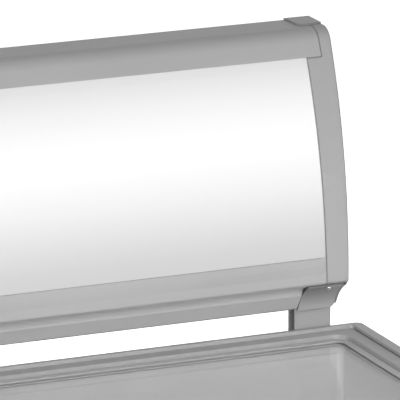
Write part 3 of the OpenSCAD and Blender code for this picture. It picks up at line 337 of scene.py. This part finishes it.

# %% Painted light and shade that follow the height
painted_height_shade, given, result = shader_group(
    "painted_height_shade", {"Start": 0.0, "Full": 1.0, "Before": 1.0, "After": 0.8},
    {"Shade": "NodeSocketFloat"})
spot = add(painted_height_shade, "ShaderNodeSeparateXYZ", Vector=object_spot(painted_height_shade))
shade_level = add(painted_height_shade, "ShaderNodeMapRange", Value=spot.outputs["Z"], From_Min=given["Start"],
            From_Max=given["Full"], To_Min=given["Before"], To_Max=given["After"])
link(painted_height_shade, shade_level.outputs[0], result["Shade"])
print("made", painted_height_shade.name)

# %% Drawn lines
drawn, given, result = shader_group(
    "drawn_lines", {"Along X": 4.0, "Along Y": 4.0, "Along Z": 900.0}, {"Height": "NodeSocketFloat"})
stretch = add(drawn, "ShaderNodeCombineXYZ", X=given["Along X"], Y=given["Along Y"],
              Z=given["Along Z"])
place = add(drawn, "ShaderNodeVectorMath", {"operation": "MULTIPLY"}, i0=object_spot(drawn),
            i1=stretch.outputs[0])
lines = add(drawn, "ShaderNodeTexNoise", Vector=place.outputs[0], Scale=1.0, Detail=3.0)
link(drawn, lines.outputs[0], result["Height"])
print("made", drawn.name)

# %% [markdown]
# ## Finishes
#
# Most pieces are grey mouldings and painted sheets. They share a recipe: a colour with a
# cloudy change of tone, a fine bump, dust on top, dirt and painted shade in the seams and lighter
# worn edges. Some add painted light and shade that follow the height, and painted shade on edges.
# Writing the recipe once keeps the greys related, and each finish only differs in its numbers.

# %% The recipe for mouldings and paint
def start_material(name):
    made = bpy.data.materials.new(name)
    made.use_nodes = True
    shader = made.node_tree.nodes["Principled BSDF"]
    return made, made.node_tree, shader


def mix_colour(tree, mask, first, second):
    made = add(tree, "ShaderNodeMix", {"data_type": "RGBA"})
    for socket, value in ((made.inputs[0], mask), (made.inputs[6], first), (made.inputs[7], second)):
        if isinstance(value, bpy.types.NodeSocket):
            link(tree, value, socket)
        else:
            socket.default_value = value
    return made.outputs[2]


def bumped(tree, shader, height, depth, softness=0.0):
    bump = add(tree, "ShaderNodeBump", Strength=1.0, Distance=depth, Height=height)
    if softness:
        soft = add(tree, "ShaderNodeBevel", {"samples": 6}, Radius=softness)
        link(tree, soft.outputs[0], bump.inputs["Normal"])
    link(tree, bump.outputs[0], shader.inputs["Normal"])


def grey_recipe(name, colour, rough, grain_scale=900.0, grain_depth=0.00002, cloud=0.04,
                cloud_scale=3.0, dusty=0.15, seams=0.12, reach=0.012, wear=0.25, worn_colour=None,
                specular=0.35, softness=0.0012, film_and_painted_shade=None, painted_edge_shade=0.0):
    made, tree, shader = start_material(name)
    paint = (*colour, 1)
    bright = (*(worn_colour or [min(c * 1.35 + 0.03, 1) for c in colour]), 1)
    base = place_group(tree, cloudy, Colour=paint, Scale=cloud_scale, Change=cloud)
    edge = place_group(tree, worn, Amount=wear)
    colour_out = mix_colour(tree, edge.outputs["Mask"], base.outputs["Colour"], bright)
    top = place_group(tree, dust, Amount=dusty)
    colour_out = mix_colour(tree, top.outputs["Mask"], colour_out, (0.55, 0.54, 0.52, 1))
    # Dirt and painted shade in seams and hollows
    dirt_and_shade = place_group(tree, seam, Amount=seams, Reach=reach)
    colour_out = scaled(tree, colour_out, dirt_and_shade.outputs["Shade"])
    # Painted shade along the edges, where the faces turn away from the lamps
    if painted_edge_shade:
        line = place_group(tree, edges, Amount=painted_edge_shade)
        colour_out = scaled(tree, colour_out, line.outputs["Shade"])
    if film_and_painted_shade:
        # Painted light and shade: the grey changes between two heights, darker towards the second for a
        # positive amount and lighter for a negative one.
        start, full, amount = film_and_painted_shade
        height = place_group(tree, painted_height_shade, Start=start, Full=full, After=1.0 - amount)
        colour_out = scaled(tree, colour_out, height.outputs["Shade"])
    link(tree, colour_out, shader.inputs["Base Color"])
    dull = add(tree, "ShaderNodeMapRange", Value=base.outputs["Tone"], From_Min=0.3, From_Max=0.7,
               To_Min=max(rough - 0.06, 0.02), To_Max=min(rough + 0.06, 1))
    link(tree, dull.outputs[0], shader.inputs["Roughness"])
    shader.inputs["Specular IOR Level"].default_value = specular
    pits = place_group(tree, grain, Scale=grain_scale)
    bumped(tree, shader, pits.outputs["Height"], grain_depth, softness)
    return made


finishes = {}
finishes["grey_moulding"] = grey_recipe("satin_grey_moulding", (0.455, 0.455, 0.455), 0.48)
finishes["grey_sheet"] = grey_recipe("grey_enamel_sheet", (0.44, 0.44, 0.44), 0.34,
                                     grain_scale=260.0, grain_depth=0.00003, cloud_scale=1.6)
finishes["grey_post"] = grey_recipe("grey_powder_coat", (0.385, 0.385, 0.385), 0.5,
                                    grain_scale=1500.0, grain_depth=0.00004)
finishes["canopy_sheet"] = grey_recipe("pale_enamel_sheet", (0.5, 0.5, 0.5), 0.4,
                                       grain_scale=300.0)
finishes["dark_moulding"] = grey_recipe("dark_grey_moulding", (0.07, 0.07, 0.075), 0.5,
                                        grain_depth=0.00003, dusty=0.3, worn_colour=(0.16, 0.16, 0.165))
finishes["white_moulding"] = grey_recipe("white_moulding", (0.72, 0.72, 0.70), 0.42, cloud=0.02)
finishes["driver_paint"] = grey_recipe("white_case_paint", (0.7, 0.7, 0.68), 0.4)
finishes["black_enamel"] = grey_recipe("black_enamel", (0.03, 0.03, 0.03), 0.28,
                                       grain_scale=120.0, grain_depth=0.00006, dusty=0.5,
                                       worn_colour=(0.12, 0.115, 0.11))
finishes["condenser_paint"] = grey_recipe("matt_black_fins", (0.045, 0.045, 0.045), 0.55,
                                          dusty=0.6, worn_colour=(0.2, 0.2, 0.2))
finishes["soft_rubber"] = grey_recipe("soft_black_rubber", (0.03, 0.03, 0.03), 0.7, dusty=0.4,
                                      grain_scale=1800.0, wear=0.1)
finishes["knob_plastic"] = grey_recipe("knob_plastic", (0.55, 0.55, 0.55), 0.3)
finishes["red_plastic"] = grey_recipe("rocker_red", (0.5, 0.03, 0.02), 0.28, cloud=0.02)
print("finishes so far:", len(finishes))

# %% [markdown]
# ## Greys of single pieces
#
# Some pieces carry painted light and shade of their own. Two long mouldings and the lids' frames
# are painted a little lighter than the caps, a cap is painted lighter towards its top and darker at
# its edges, the frame is painted lighter below its lowest step, and the corner brackets get painted
# shade from the canopy's nose. A screen before a lamp could give that shade, but it would fall on
# the neighbours too. So each of these pieces gets the common recipe with its own numbers.

# %% Greys of single pieces
own_finish = {}
# Painted light: lighter copies of the moulding grey for pieces that the lamps leave too dark
for node, tone in (("top_rail", 0.488), ("lower_moulding", 0.56), ("right_lid_frame", 0.56),
                   ("left_lid_frame", 0.56)):
    own_finish[node] = grey_recipe("grey_" + node, (tone, tone, tone), 0.46)
# Painted light and shade: the cap is painted lighter towards its top and darker along its edges
CAP_LIGHT_START = 0.07
CAP_LIGHT_END = 0.04
cap_low, cap_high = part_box("right_end_cap")
cap_painted_light = (cap_low.z + CAP_LIGHT_START, cap_high.z - CAP_LIGHT_END, -0.13)
cap_finish = grey_recipe("grey_end_cap", (0.412, 0.412, 0.412), 0.48, softness=0.005, wear=0.0,
                         film_and_painted_shade=cap_painted_light, painted_edge_shade=0.3)
# Painted light: from its lowest step under the lids downwards, the frame is painted lighter, nearly as
# light as the liner beside it
STEP_LIGHT_START = 0.0135
STEP_LIGHT_END = 0.0165
frame_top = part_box("top_frame")[1].z
step_painted_light = (frame_top - STEP_LIGHT_START, frame_top - STEP_LIGHT_END, -0.3)
own_finish["top_frame"] = grey_recipe("grey_top_frame", (0.455, 0.455, 0.455), 0.48,
                                      film_and_painted_shade=step_painted_light)
# Painted shade from the canopy's nose: the bracket grows darker towards its top and in its hollows
BRACKET_SHADE_START = 0.005
bracket_low, bracket_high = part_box("right_corner_bracket")
bracket_painted_shade = (bracket_low.z + BRACKET_SHADE_START, bracket_high.z, 0.5)
bracket_finish = grey_recipe("grey_corner_bracket", (0.44, 0.44, 0.44), 0.48, seams=0.6,
                             reach=0.03, film_and_painted_shade=bracket_painted_shade)
for side in ("left", "right"):
    own_finish[side + "_end_cap"] = cap_finish
    own_finish[side + "_corner_bracket"] = bracket_finish
print("pieces with a grey of their own:", len(own_finish))

# %% [markdown]
# ## The knob's pointer
#
# The pointer on such a knob is a printed line. A thin mesh could stand in for it, but print has
# no thickness. So a mask in the knob's own material paints the line where the spot on the knob
# lies inside a narrow box. The line turns with the knob, because the mask reads the knob's own
# coordinates.

# %% A pointer on the knob
def painted_line(finish, centre, along, across, reach, half, front):
    """Paints a dark line that runs outwards from the centre, on faces less than front behind it."""
    tree = finish.node_tree
    shader = tree.nodes["Principled BSDF"]
    spot = add(tree, "ShaderNodeVectorMath", {"operation": "SUBTRACT"}, i0=object_spot(tree),
               i1=centre).outputs[0]
    middle = (reach[0] + reach[1]) / 2
    mask = None
    for axis, place, width in ((along, middle, reach[1] - middle), (across, 0.0, half)):
        way = add(tree, "ShaderNodeVectorMath", {"operation": "DOT_PRODUCT"}, i0=spot, i1=axis)
        near = add(tree, "ShaderNodeMath", {"operation": "COMPARE"}, i0=way.outputs["Value"],
                   i1=place, i2=width)
        mask = near.outputs[0] if mask is None else times(tree, mask, near.outputs[0])
    depth = add(tree, "ShaderNodeSeparateXYZ", Vector=spot).outputs["Y"]
    proud = add(tree, "ShaderNodeMath", {"operation": "LESS_THAN"}, i0=depth, i1=front)
    mask = times(tree, mask, proud.outputs[0])
    old = shader.inputs["Base Color"].links[0].from_socket
    link(tree, mix_colour(tree, mask, old, (0.03, 0.03, 0.03, 1)), shader.inputs["Base Color"])


# At rest the pointer stands at half past four, and the knob turns it round to half past seven
DIAL_START = -45
POINTER_REACH = (0.0034, 0.0089)
POINTER_HALF = 0.0007
start = math.radians(DIAL_START)
low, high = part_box("thermostat_knob")
knob_face = ((low.x + high.x) / 2, low.y, (low.z + high.z) / 2)
painted_line(finishes["knob_plastic"], knob_face, (math.cos(start), 0, math.sin(start)),
             (-math.sin(start), 0, math.cos(start)), POINTER_REACH, POINTER_HALF, 0.001)
print("pointer at", DIAL_START, "degrees")

# %% [markdown]
# ## Metals
#
# Zinc plate shows a faint crystal pattern, so its colour and its gloss both follow one cell
# pattern. Copper has a brown film that is thicker in patches. The liner is rolled sheet: a soft
# sheen along the roll, with small marks from tubs that were pushed against it.

# %% Metal finishes
def metal(name, colour, film_and_painted_shade, rough, pattern, scale, change):
    made, tree, shader = start_material(name)
    where = object_spot(tree)
    if pattern == "cells":
        cells = add(tree, "ShaderNodeTexVoronoi", Vector=where, Scale=scale)
        mask = add(tree, "ShaderNodeSeparateColor", Color=cells.outputs["Color"]).outputs[0]
    else:
        mask = add(tree, "ShaderNodeTexNoise", Vector=where, Scale=scale, Detail=5.0).outputs[0]
        mask = add(tree, "ShaderNodeMapRange", Value=mask, From_Min=0.35, From_Max=0.65).outputs[0]
    colour_out = mix_colour(tree, mask, (*colour, 1), (*film_and_painted_shade, 1))
    # Dirt and painted shade in the hollows
    dirt_and_shade = place_group(tree, seam, Amount=0.5)
    link(tree, scaled(tree, colour_out, dirt_and_shade.outputs["Shade"]), shader.inputs["Base Color"])
    dull = add(tree, "ShaderNodeMapRange", Value=mask, To_Min=rough, To_Max=rough + change)
    link(tree, dull.outputs[0], shader.inputs["Roughness"])
    shader.inputs["Metallic"].default_value = 1.0
    pits = place_group(tree, grain, Scale=700.0)
    bumped(tree, shader, pits.outputs["Height"], 0.00002)
    return made


finishes["zinc_steel"] = metal("zinc_plate", (0.56, 0.57, 0.58), (0.47, 0.48, 0.5), 0.38, "cells",
                               160.0, 0.12)
finishes["polished_screws"] = metal("bright_screws", (0.78, 0.78, 0.79), (0.68, 0.68, 0.7), 0.14,
                                    "noise", 90.0, 0.1)
finishes["copper_pipe"] = metal("drawn_copper", (0.68, 0.36, 0.22), (0.36, 0.19, 0.12), 0.3,
                                "noise", 45.0, 0.25)

made, tree, shader = start_material("rolled_liner_sheet")
base = place_group(tree, cloudy, Colour=(0.75, 0.75, 0.75, 1), Scale=5.0, Change=0.03)
roll = place_group(tree, drawn, Along_X=3.0, Along_Y=3.0, Along_Z=420.0)
marks = add(tree, "ShaderNodeTexNoise", Scale=30.0, Detail=6.0, Roughness=0.7,
            Vector=object_spot(tree))
scuffs = add(tree, "ShaderNodeMapRange", Value=marks.outputs[0], From_Min=0.62, From_Max=0.72,
             To_Min=0.0, To_Max=0.25)
scuffed = mix_colour(tree, scuffs.outputs[0], base.outputs["Colour"], (0.7, 0.7, 0.7, 1))
# Dirt and painted shade in the corners
dirt_and_shade = place_group(tree, seam, Reach=0.02, Amount=0.08)
shaded = scaled(tree, scuffed, dirt_and_shade.outputs["Shade"])
# Painted shade under the frame: the sheet is darker along its upper edge, and a little lighter further
# down
RIM_START = 0.075
RIM_END = 0.005
liner_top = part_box("inner_liner")[1].z
height = place_group(tree, painted_height_shade, Start=liner_top - RIM_START, Full=liner_top - RIM_END,
                     Before=1.06, After=0.86)
link(tree, scaled(tree, shaded, height.outputs["Shade"]), shader.inputs["Base Color"])
dull = add(tree, "ShaderNodeMapRange", Value=roll.outputs["Height"], To_Min=0.38, To_Max=0.56)
link(tree, dull.outputs[0], shader.inputs["Roughness"])
bumped(tree, shader, roll.outputs["Height"], 0.00002)
finishes["liner_sheet"] = made
print("metals:", [finishes[k].name for k in ("zinc_steel", "polished_screws", "copper_pipe")])

# %% [markdown]
# ## Light panel, lamps and glass
#
# The opal panel is lit by tubes behind it. Seen from the front it is white in the middle and
# slightly grey towards its upper and lower edges, because the light falls off there. A colour
# ramp over the panel's height sets the glow, so it stays where it is from any side.

# %% Opal panel and lamps
panel_low, panel_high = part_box("diffuser_panel")
made, tree, shader = start_material("opal_panel")
place = add(tree, "ShaderNodeSeparateXYZ", Vector=object_spot(tree))
height = add(tree, "ShaderNodeMapRange", Value=place.outputs["Z"], From_Min=panel_low.z,
             From_Max=panel_high.z)
ramp = add(tree, "ShaderNodeValToRGB", Fac=height.outputs[0])
ramp.color_ramp.interpolation = "LINEAR"
stops = [(0.0, 0.25), (0.1, 0.275), (0.19, 0.345), (0.285, 0.43), (0.377, 0.52), (0.47, 0.59),
         (0.56, 0.645), (0.655, 0.653), (0.75, 0.614), (0.84, 0.551), (0.93, 0.468), (1.0, 0.41)]
while len(ramp.color_ramp.elements) < len(stops):
    ramp.color_ramp.elements.new(0.5)
for element, (at, level) in zip(ramp.color_ramp.elements, stops):
    element.position = at
    element.color = (level, level, level, 1)
link(tree, ramp.outputs[0], shader.inputs["Emission Color"])
shader.inputs["Emission Strength"].default_value = 1.0
base = place_group(tree, cloudy, Colour=(0.35, 0.35, 0.35, 1), Scale=2.0, Change=0.01)
link(tree, base.outputs["Colour"], shader.inputs["Base Color"])
fine = place_group(tree, grain, Scale=1400.0)
bumped(tree, shader, fine.outputs["Height"], 0.00001)
shader.inputs["Roughness"].default_value = 0.5
finishes["opal_diffuser"] = made

made, tree, shader = start_material("white_lamp_tube")
# A used tube goes grey towards its ends
GREY_START = 0.55
GREY_END = 0.597
place = add(tree, "ShaderNodeSeparateXYZ", Vector=object_spot(tree))
far = add(tree, "ShaderNodeMath", {"operation": "ABSOLUTE"}, i0=place.outputs["X"])
end = add(tree, "ShaderNodeMapRange", Value=far.outputs[0], From_Min=GREY_START,
          From_Max=GREY_END)
tube_colour = mix_colour(tree, end.outputs[0], (0.9, 0.9, 0.88, 1), (0.45, 0.44, 0.43, 1))
link(tree, tube_colour, shader.inputs["Base Color"])
shader.inputs["Roughness"].default_value = 0.2
finishes["lamp_glass"] = made

# %% [markdown]
# ## Lid glass and lenses
#
# The lids are flat clear glass with faint smears. Rendered as solid glass they would throw a
# dark shadow into the tank, so light that only passes goes straight through. The index is low,
# which keeps the reflections of the room weak. The signal lenses are coloured plastic with a
# thin glossy coat.

# %% Lid glass and small lenses
made, tree, shader = start_material("clear_lid_glass")
shader.inputs["Transmission Weight"].default_value = 1.0
shader.inputs["IOR"].default_value = 1.08
smear = place_group(tree, cloudy, Colour=(0.985, 0.985, 0.985, 1), Scale=7.0, Change=0.01)
link(tree, smear.outputs["Colour"], shader.inputs["Base Color"])
smudge = add(tree, "ShaderNodeMapRange", Value=smear.outputs["Tone"], From_Min=0.5, From_Max=0.8,
             To_Min=0.0, To_Max=0.03)
link(tree, smudge.outputs[0], shader.inputs["Roughness"])
# Light on its way to other surfaces goes straight through, so the tank isn't in shadow
path = add(tree, "ShaderNodeLightPath")
passing = add(tree, "ShaderNodeMath", {"operation": "MAXIMUM"},
              i0=path.outputs["Is Shadow Ray"], i1=path.outputs["Is Diffuse Ray"])
clear = add(tree, "ShaderNodeBsdfTransparent", Color=(0.97, 0.97, 0.97, 1))
blend = add(tree, "ShaderNodeMixShader", i0=passing.outputs[0], i1=shader.outputs[0],
            i2=clear.outputs[0])
link(tree, blend.outputs[0], tree.nodes["Material Output"].inputs["Surface"])
finishes["lid_glass"] = made

made, tree, shader = start_material("green_lens")
base = place_group(tree, cloudy, Colour=(0.08, 0.42, 0.11, 1), Scale=200.0, Change=0.15)
link(tree, base.outputs["Colour"], shader.inputs["Base Color"])
shader.inputs["Roughness"].default_value = 0.15
shader.inputs["Coat Weight"].default_value = 0.4
finishes["green_lens"] = made

# %% [markdown]
# ## Foam and wheel rubber
#
# The foam between liner and sheets has small closed cells. A cell pattern sets both its colour
# and its bump. The wheels are hard rubber with dust on top, and dirt with painted shade beside the
# fork.

# %% Foam and wheel rubber
made, tree, shader = start_material("rigid_foam")
cells = add(tree, "ShaderNodeTexVoronoi", Vector=object_spot(tree), Scale=420.0)
tone = place_group(tree, cloudy, Colour=(0.72, 0.62, 0.36, 1), Scale=9.0, Change=0.12)
pores = mix_colour(tree, cells.outputs["Distance"], (0.5, 0.4, 0.2, 1), tone.outputs["Colour"])
link(tree, pores, shader.inputs["Base Color"])
shader.inputs["Roughness"].default_value = 0.85
bumped(tree, shader, cells.outputs["Distance"], 0.0006)
finishes["foam"] = made

made, tree, shader = start_material("tread_rubber")
tone = place_group(tree, cloudy, Colour=(0.075, 0.075, 0.08, 1), Scale=60.0, Change=0.2)
top = place_group(tree, dust, Amount=0.3)
# Dirt and painted shade beside the fork
dirt_and_shade = place_group(tree, seam, Amount=0.6)
base = scaled(tree, tone.outputs["Colour"], dirt_and_shade.outputs["Shade"])
link(tree, mix_colour(tree, top.outputs["Mask"], base, (0.3, 0.29, 0.27, 1)),
     shader.inputs["Base Color"])
shader.inputs["Roughness"].default_value = 0.62
pits = place_group(tree, grain, Scale=1100.0)
bumped(tree, shader, pits.outputs["Height"], 0.00006)
finishes["wheel_rubber"] = made
print("finishes:", len(finishes))

# %% [markdown]
# ## Dressing the solids
#
# Real mouldings never have a knife edge. A narrow bevel on the sharp edges catches the light as
# the real one does. Only the wide flat sheets and the posts go without. The solids themselves
# stay as they are: a bevel is a modifier.

# %% Finishes and soft edges on the solids
ROUND = {"grey_moulding": 0.0009}
NARROW = 0.0004
WELD_REACH = 0.000002
SHARP = math.radians(35)
# A wide flat sheet with a hole in it shows streaks when it is bevelled
PLAIN_SHEETS = ("grey_sheet", "canopy_sheet", "grey_post")
for entry in frame["record"]["subparts"]:
    piece = nodes[entry["node"]]
    finish = own_finish.get(entry["node"], finishes[entry["material_slot"]])
    for slot in piece.material_slots:
        slot.material = finish
    if not piece.material_slots:
        piece.data.materials.append(finish)
    if entry["material_slot"] in PLAIN_SHEETS:
        continue
    weld = piece.modifiers.new("weld", "WELD")
    weld.merge_threshold = WELD_REACH
    bevel = piece.modifiers.new("soft_edge", "BEVEL")
    bevel.width = ROUND.get(entry["material_slot"], NARROW)
    bevel.segments = 2
    bevel.limit_method = "ANGLE"
    bevel.angle_limit = SHARP
    bevel.harden_normals = True
    bevel.use_clamp_overlap = True

# %% [markdown]
# ## Screws, marks and a strip of painted shade
#
# A screw head is a stack of rings with 24 points each. The rings go from the washer up over the
# dome, and the last two are crosses, one on the head and a smaller one at the bottom of the
# recess. Both kinds of ring have as many points, so plain four-sided faces join them.

# %% Building small pieces
MM = 0.001
TURNS = 24


def circle(radius):
    angles = [math.tau * k / TURNS for k in range(TURNS)]
    return [(radius * math.cos(angle), radius * math.sin(angle)) for angle in angles]


def cross(arm, half):
    """A cross of 24 points, six for each arm, starting in the middle of an arm's end."""
    middle = (arm + half) / 2
    points = []
    quarter = [(arm, 0), (arm, half), (middle, half), (half, half), (half, middle), (half, arm)]
    for _ in range(4):
        points += quarter
        quarter = [(-y, x) for x, y in quarter]
    return points


def stack(shape, rings, place, hoop=False):
    """A closed solid from rings of equal length. Each ring is (points, height) in mm.
    A hoop joins the last ring to the first one, and is open in the middle."""
    loops = []
    for points, height in rings:
        loops.append([shape.verts.new(place @ Vector((x * MM, y * MM, height * MM)))
                      for x, y in points])
    for low, high in zip(loops, loops[1:] + (loops[:1] if hoop else [])):
        for k in range(len(low)):
            after = (k + 1) % len(low)
            shape.faces.new((low[k], low[after], high[after], high[k]))
    if not hoop:
        shape.faces.new(list(reversed(loops[0])))
        shape.faces.new(loops[-1])


def facing(place, normal, turn=0.0):
    """The matrix that sets a small piece on a face, its own Z along the face's normal."""
    spin = Vector(normal).to_track_quat("Z", "Y").to_matrix().to_4x4()
    return Matrix.Translation(Vector(place) * MM) @ spin @ Matrix.Rotation(turn, 4, "Z")


def new_piece(name, shape, slot_name, body):
    bmesh.ops.recalc_face_normals(shape, faces=shape.faces)
    mesh = bpy.data.meshes.new(name)
    shape.to_mesh(mesh)
    shape.free()
    for face in mesh.polygons:
        face.use_smooth = True
    mesh.set_sharp_from_angle(angle=SHARP)
    mesh.materials.append(finishes[slot_name])
    piece = bpy.data.objects.new(name, mesh)
    scene.collection.objects.link(piece)
    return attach(piece, body)


# %% Screw heads
HEAD = [(circle(3.6), -0.2), (circle(3.6), 0.35), (circle(3.45), 0.45), (circle(3.05), 0.45),
        (circle(3.0), 0.6), (circle(2.9), 1.05), (circle(2.5), 1.42), (circle(2.0), 1.55),
        (cross(1.5, 0.42), 1.58), (cross(1.25, 0.28), 0.8)]
draw = random.Random(7)


def edges_mm(node):
    low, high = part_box(node)
    return [v / MM for v in low], [v / MM for v in high]


def screws(name, places, normal):
    shape = bmesh.new()
    for place in places:
        stack(shape, HEAD, facing(place, normal, draw.uniform(0, math.pi / 2)))
    return new_piece(name, shape, "polished_screws", "cabinet")


FRONT = (0, -1, 0)
BACK = (0, 1, 0)
EDGE = 6
for grille, normal in (("front_grille", FRONT), ("rear_grille", BACK)):
    low, high = edges_mm(grille)
    middle = (low[2] + high[2]) / 2
    face_y = low[1] if normal == FRONT else high[1]
    screws(grille + "_screws", [(x, face_y, z) for x in (low[0] + EDGE, high[0] - EDGE)
                                for z in (low[2] + EDGE, middle, high[2] - EDGE)], normal)
low, high = edges_mm("control_fascia")
middle = (low[2] + high[2]) / 2
screws("fascia_screws", [(x, low[1], middle) for x in (low[0] + EDGE, high[0] - EDGE)], FRONT)
low, high = edges_mm("back_panel")
SIDE_HEIGHTS = (155, 400, 600, 800)
BOTTOM_PLACES = (-640, -380, -120, 140, 400)
PANEL_EDGE = 12
places = [(x, high[1], z) for x in (low[0] + PANEL_EDGE, high[0] - PANEL_EDGE)
          for z in SIDE_HEIGHTS]
places += [(x, high[1], low[2] + PANEL_EDGE) for x in BOTTOM_PLACES]
screws("back_panel_screws", places, BACK)
low, high = edges_mm("canopy_back_panel")
END_PLACES = (-680, 680)
INNER_PLACES = (-340, 0, 340)
LOW_ROW = low[2] + 14
HIGH_ROW = high[2] - 46
middle = (low[2] + high[2]) / 2
places = [(x, high[1], z) for x in END_PLACES for z in (LOW_ROW, middle, HIGH_ROW)]
places += [(x, high[1], z) for x in INNER_PLACES for z in (LOW_ROW, HIGH_ROW)]
screws("canopy_back_screws", places, BACK)
print("screw heads made")

# %% [markdown]
# ## Dial, rocker and strip
#
# The ticks round the knob and the two marks on the rocker are raised a fraction of a millimetre.
# They could be painted as the pointer is, but as small solids they keep crisp edges from close
# by, and the rocker's marks ride on the rocker. A near-black strip of painted shade lies at the
# foot of the frame's bead, where the upper track ends on the right.

# %% Dial marks, rocker marks and a strip of painted shade
knob_low, knob_high = edges_mm("thermostat_knob")
knob_x = (knob_low[0] + knob_high[0]) / 2
knob_z = (knob_low[2] + knob_high[2]) / 2
fascia_y = edges_mm("control_fascia")[0][1]
DIAL_STEP = 27
TICKS = 11
TICK_CIRCLE = 16
TICK_SHORTEST = 1.2
TICK_GROWTH = 0.28
TICK_HALF = 0.35
shape = bmesh.new()
for k in range(TICKS):
    # Longer ticks for a colder setting
    reach = TICK_SHORTEST + TICK_GROWTH * k
    angle = math.radians(DIAL_START + DIAL_STEP * k)
    out = Vector((math.cos(angle), 0, math.sin(angle)))
    middle = Vector((knob_x, fascia_y, knob_z)) + out * (TICK_CIRCLE + reach / 2)
    tick = [(reach / 2, -TICK_HALF), (reach / 2, TICK_HALF), (-reach / 2, TICK_HALF),
            (-reach / 2, -TICK_HALF)]
    slim = [(x * 0.94, y * 0.8) for x, y in tick]
    # A turn by -angle about Y is anticlockwise as seen from the front
    stack(shape, [(tick, -0.05), (tick, 0.12), (slim, 0.2)],
          Matrix.Translation(middle * MM) @ Matrix.Rotation(-angle, 4, "Y")
          @ Matrix.Rotation(math.radians(90), 4, "X"))
new_piece("dial_marks", shape, "white_moulding", "cabinet")

# The rocker's face is a shallow V. A bar marks its upper half and a ring its lower half.
ROCKER_TILT = 8
ROCKER_PIVOT = 6
FACE_LEAN = math.atan2(1.4, 9.6)
MARK_DEPTH = 7.7
MARK_AWAY = 4.8
rocker_x = sum(v[0] for v in edges_mm("power_switch")) / 2
pivot = Matrix.Translation(Vector((rocker_x, fascia_y + ROCKER_PIVOT, knob_z)) * MM)
pivot = pivot @ Matrix.Rotation(math.radians(ROCKER_TILT), 4, "X")
bar = [(-0.45, -2), (0.45, -2), (0.45, 2), (-0.45, 2)]
shape = bmesh.new()
for half, rings in ((1, [(bar, -0.05), (bar, 0.12)]),
                    (-1, [(circle(2.1), -0.05), (circle(2.1), 0.12), (circle(1.4), 0.12),
                          (circle(1.4), -0.05)])):
    normal = (0, -math.cos(FACE_LEAN), -half * math.sin(FACE_LEAN))
    place = pivot @ facing((0, -MARK_DEPTH, MARK_AWAY * half), normal)
    stack(shape, rings, place, hoop=half < 0)
new_piece("rocker_marks", shape, "white_moulding", "rocker")

# Painted shade: a near-black strip at the foot of the bead stands for the shadow line there
frame_low, frame_high = edges_mm("top_frame")
STRIP_FOOT = frame_high[2] - 5.5
STRIP_X = frame_high[0] - 18
STRIP_SHORT = 17
profile = [(0, 0), (0, 0.8), (-0.3, 1.0), (-0.8, 1.0), (-1.1, 0.7), (-1.1, 0)]
shape = bmesh.new()
along_y = Matrix.Translation(Vector((STRIP_X, 0, STRIP_FOOT)) * MM) @ Matrix.Rotation(
    math.radians(90), 4, "X")
ends = (frame_low[1] + STRIP_SHORT, frame_high[1] - STRIP_SHORT)
stack(shape, [(profile, -y) for y in ends], along_y)
new_piece("bead_foot_shade_strip", shape, "dark_moulding", "cabinet")
print("marks and trim made")

# %% [markdown]
# ## Size
#
# The last cell works out how large the finished freezer is.

# %% Sizes and finish
low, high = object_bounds()
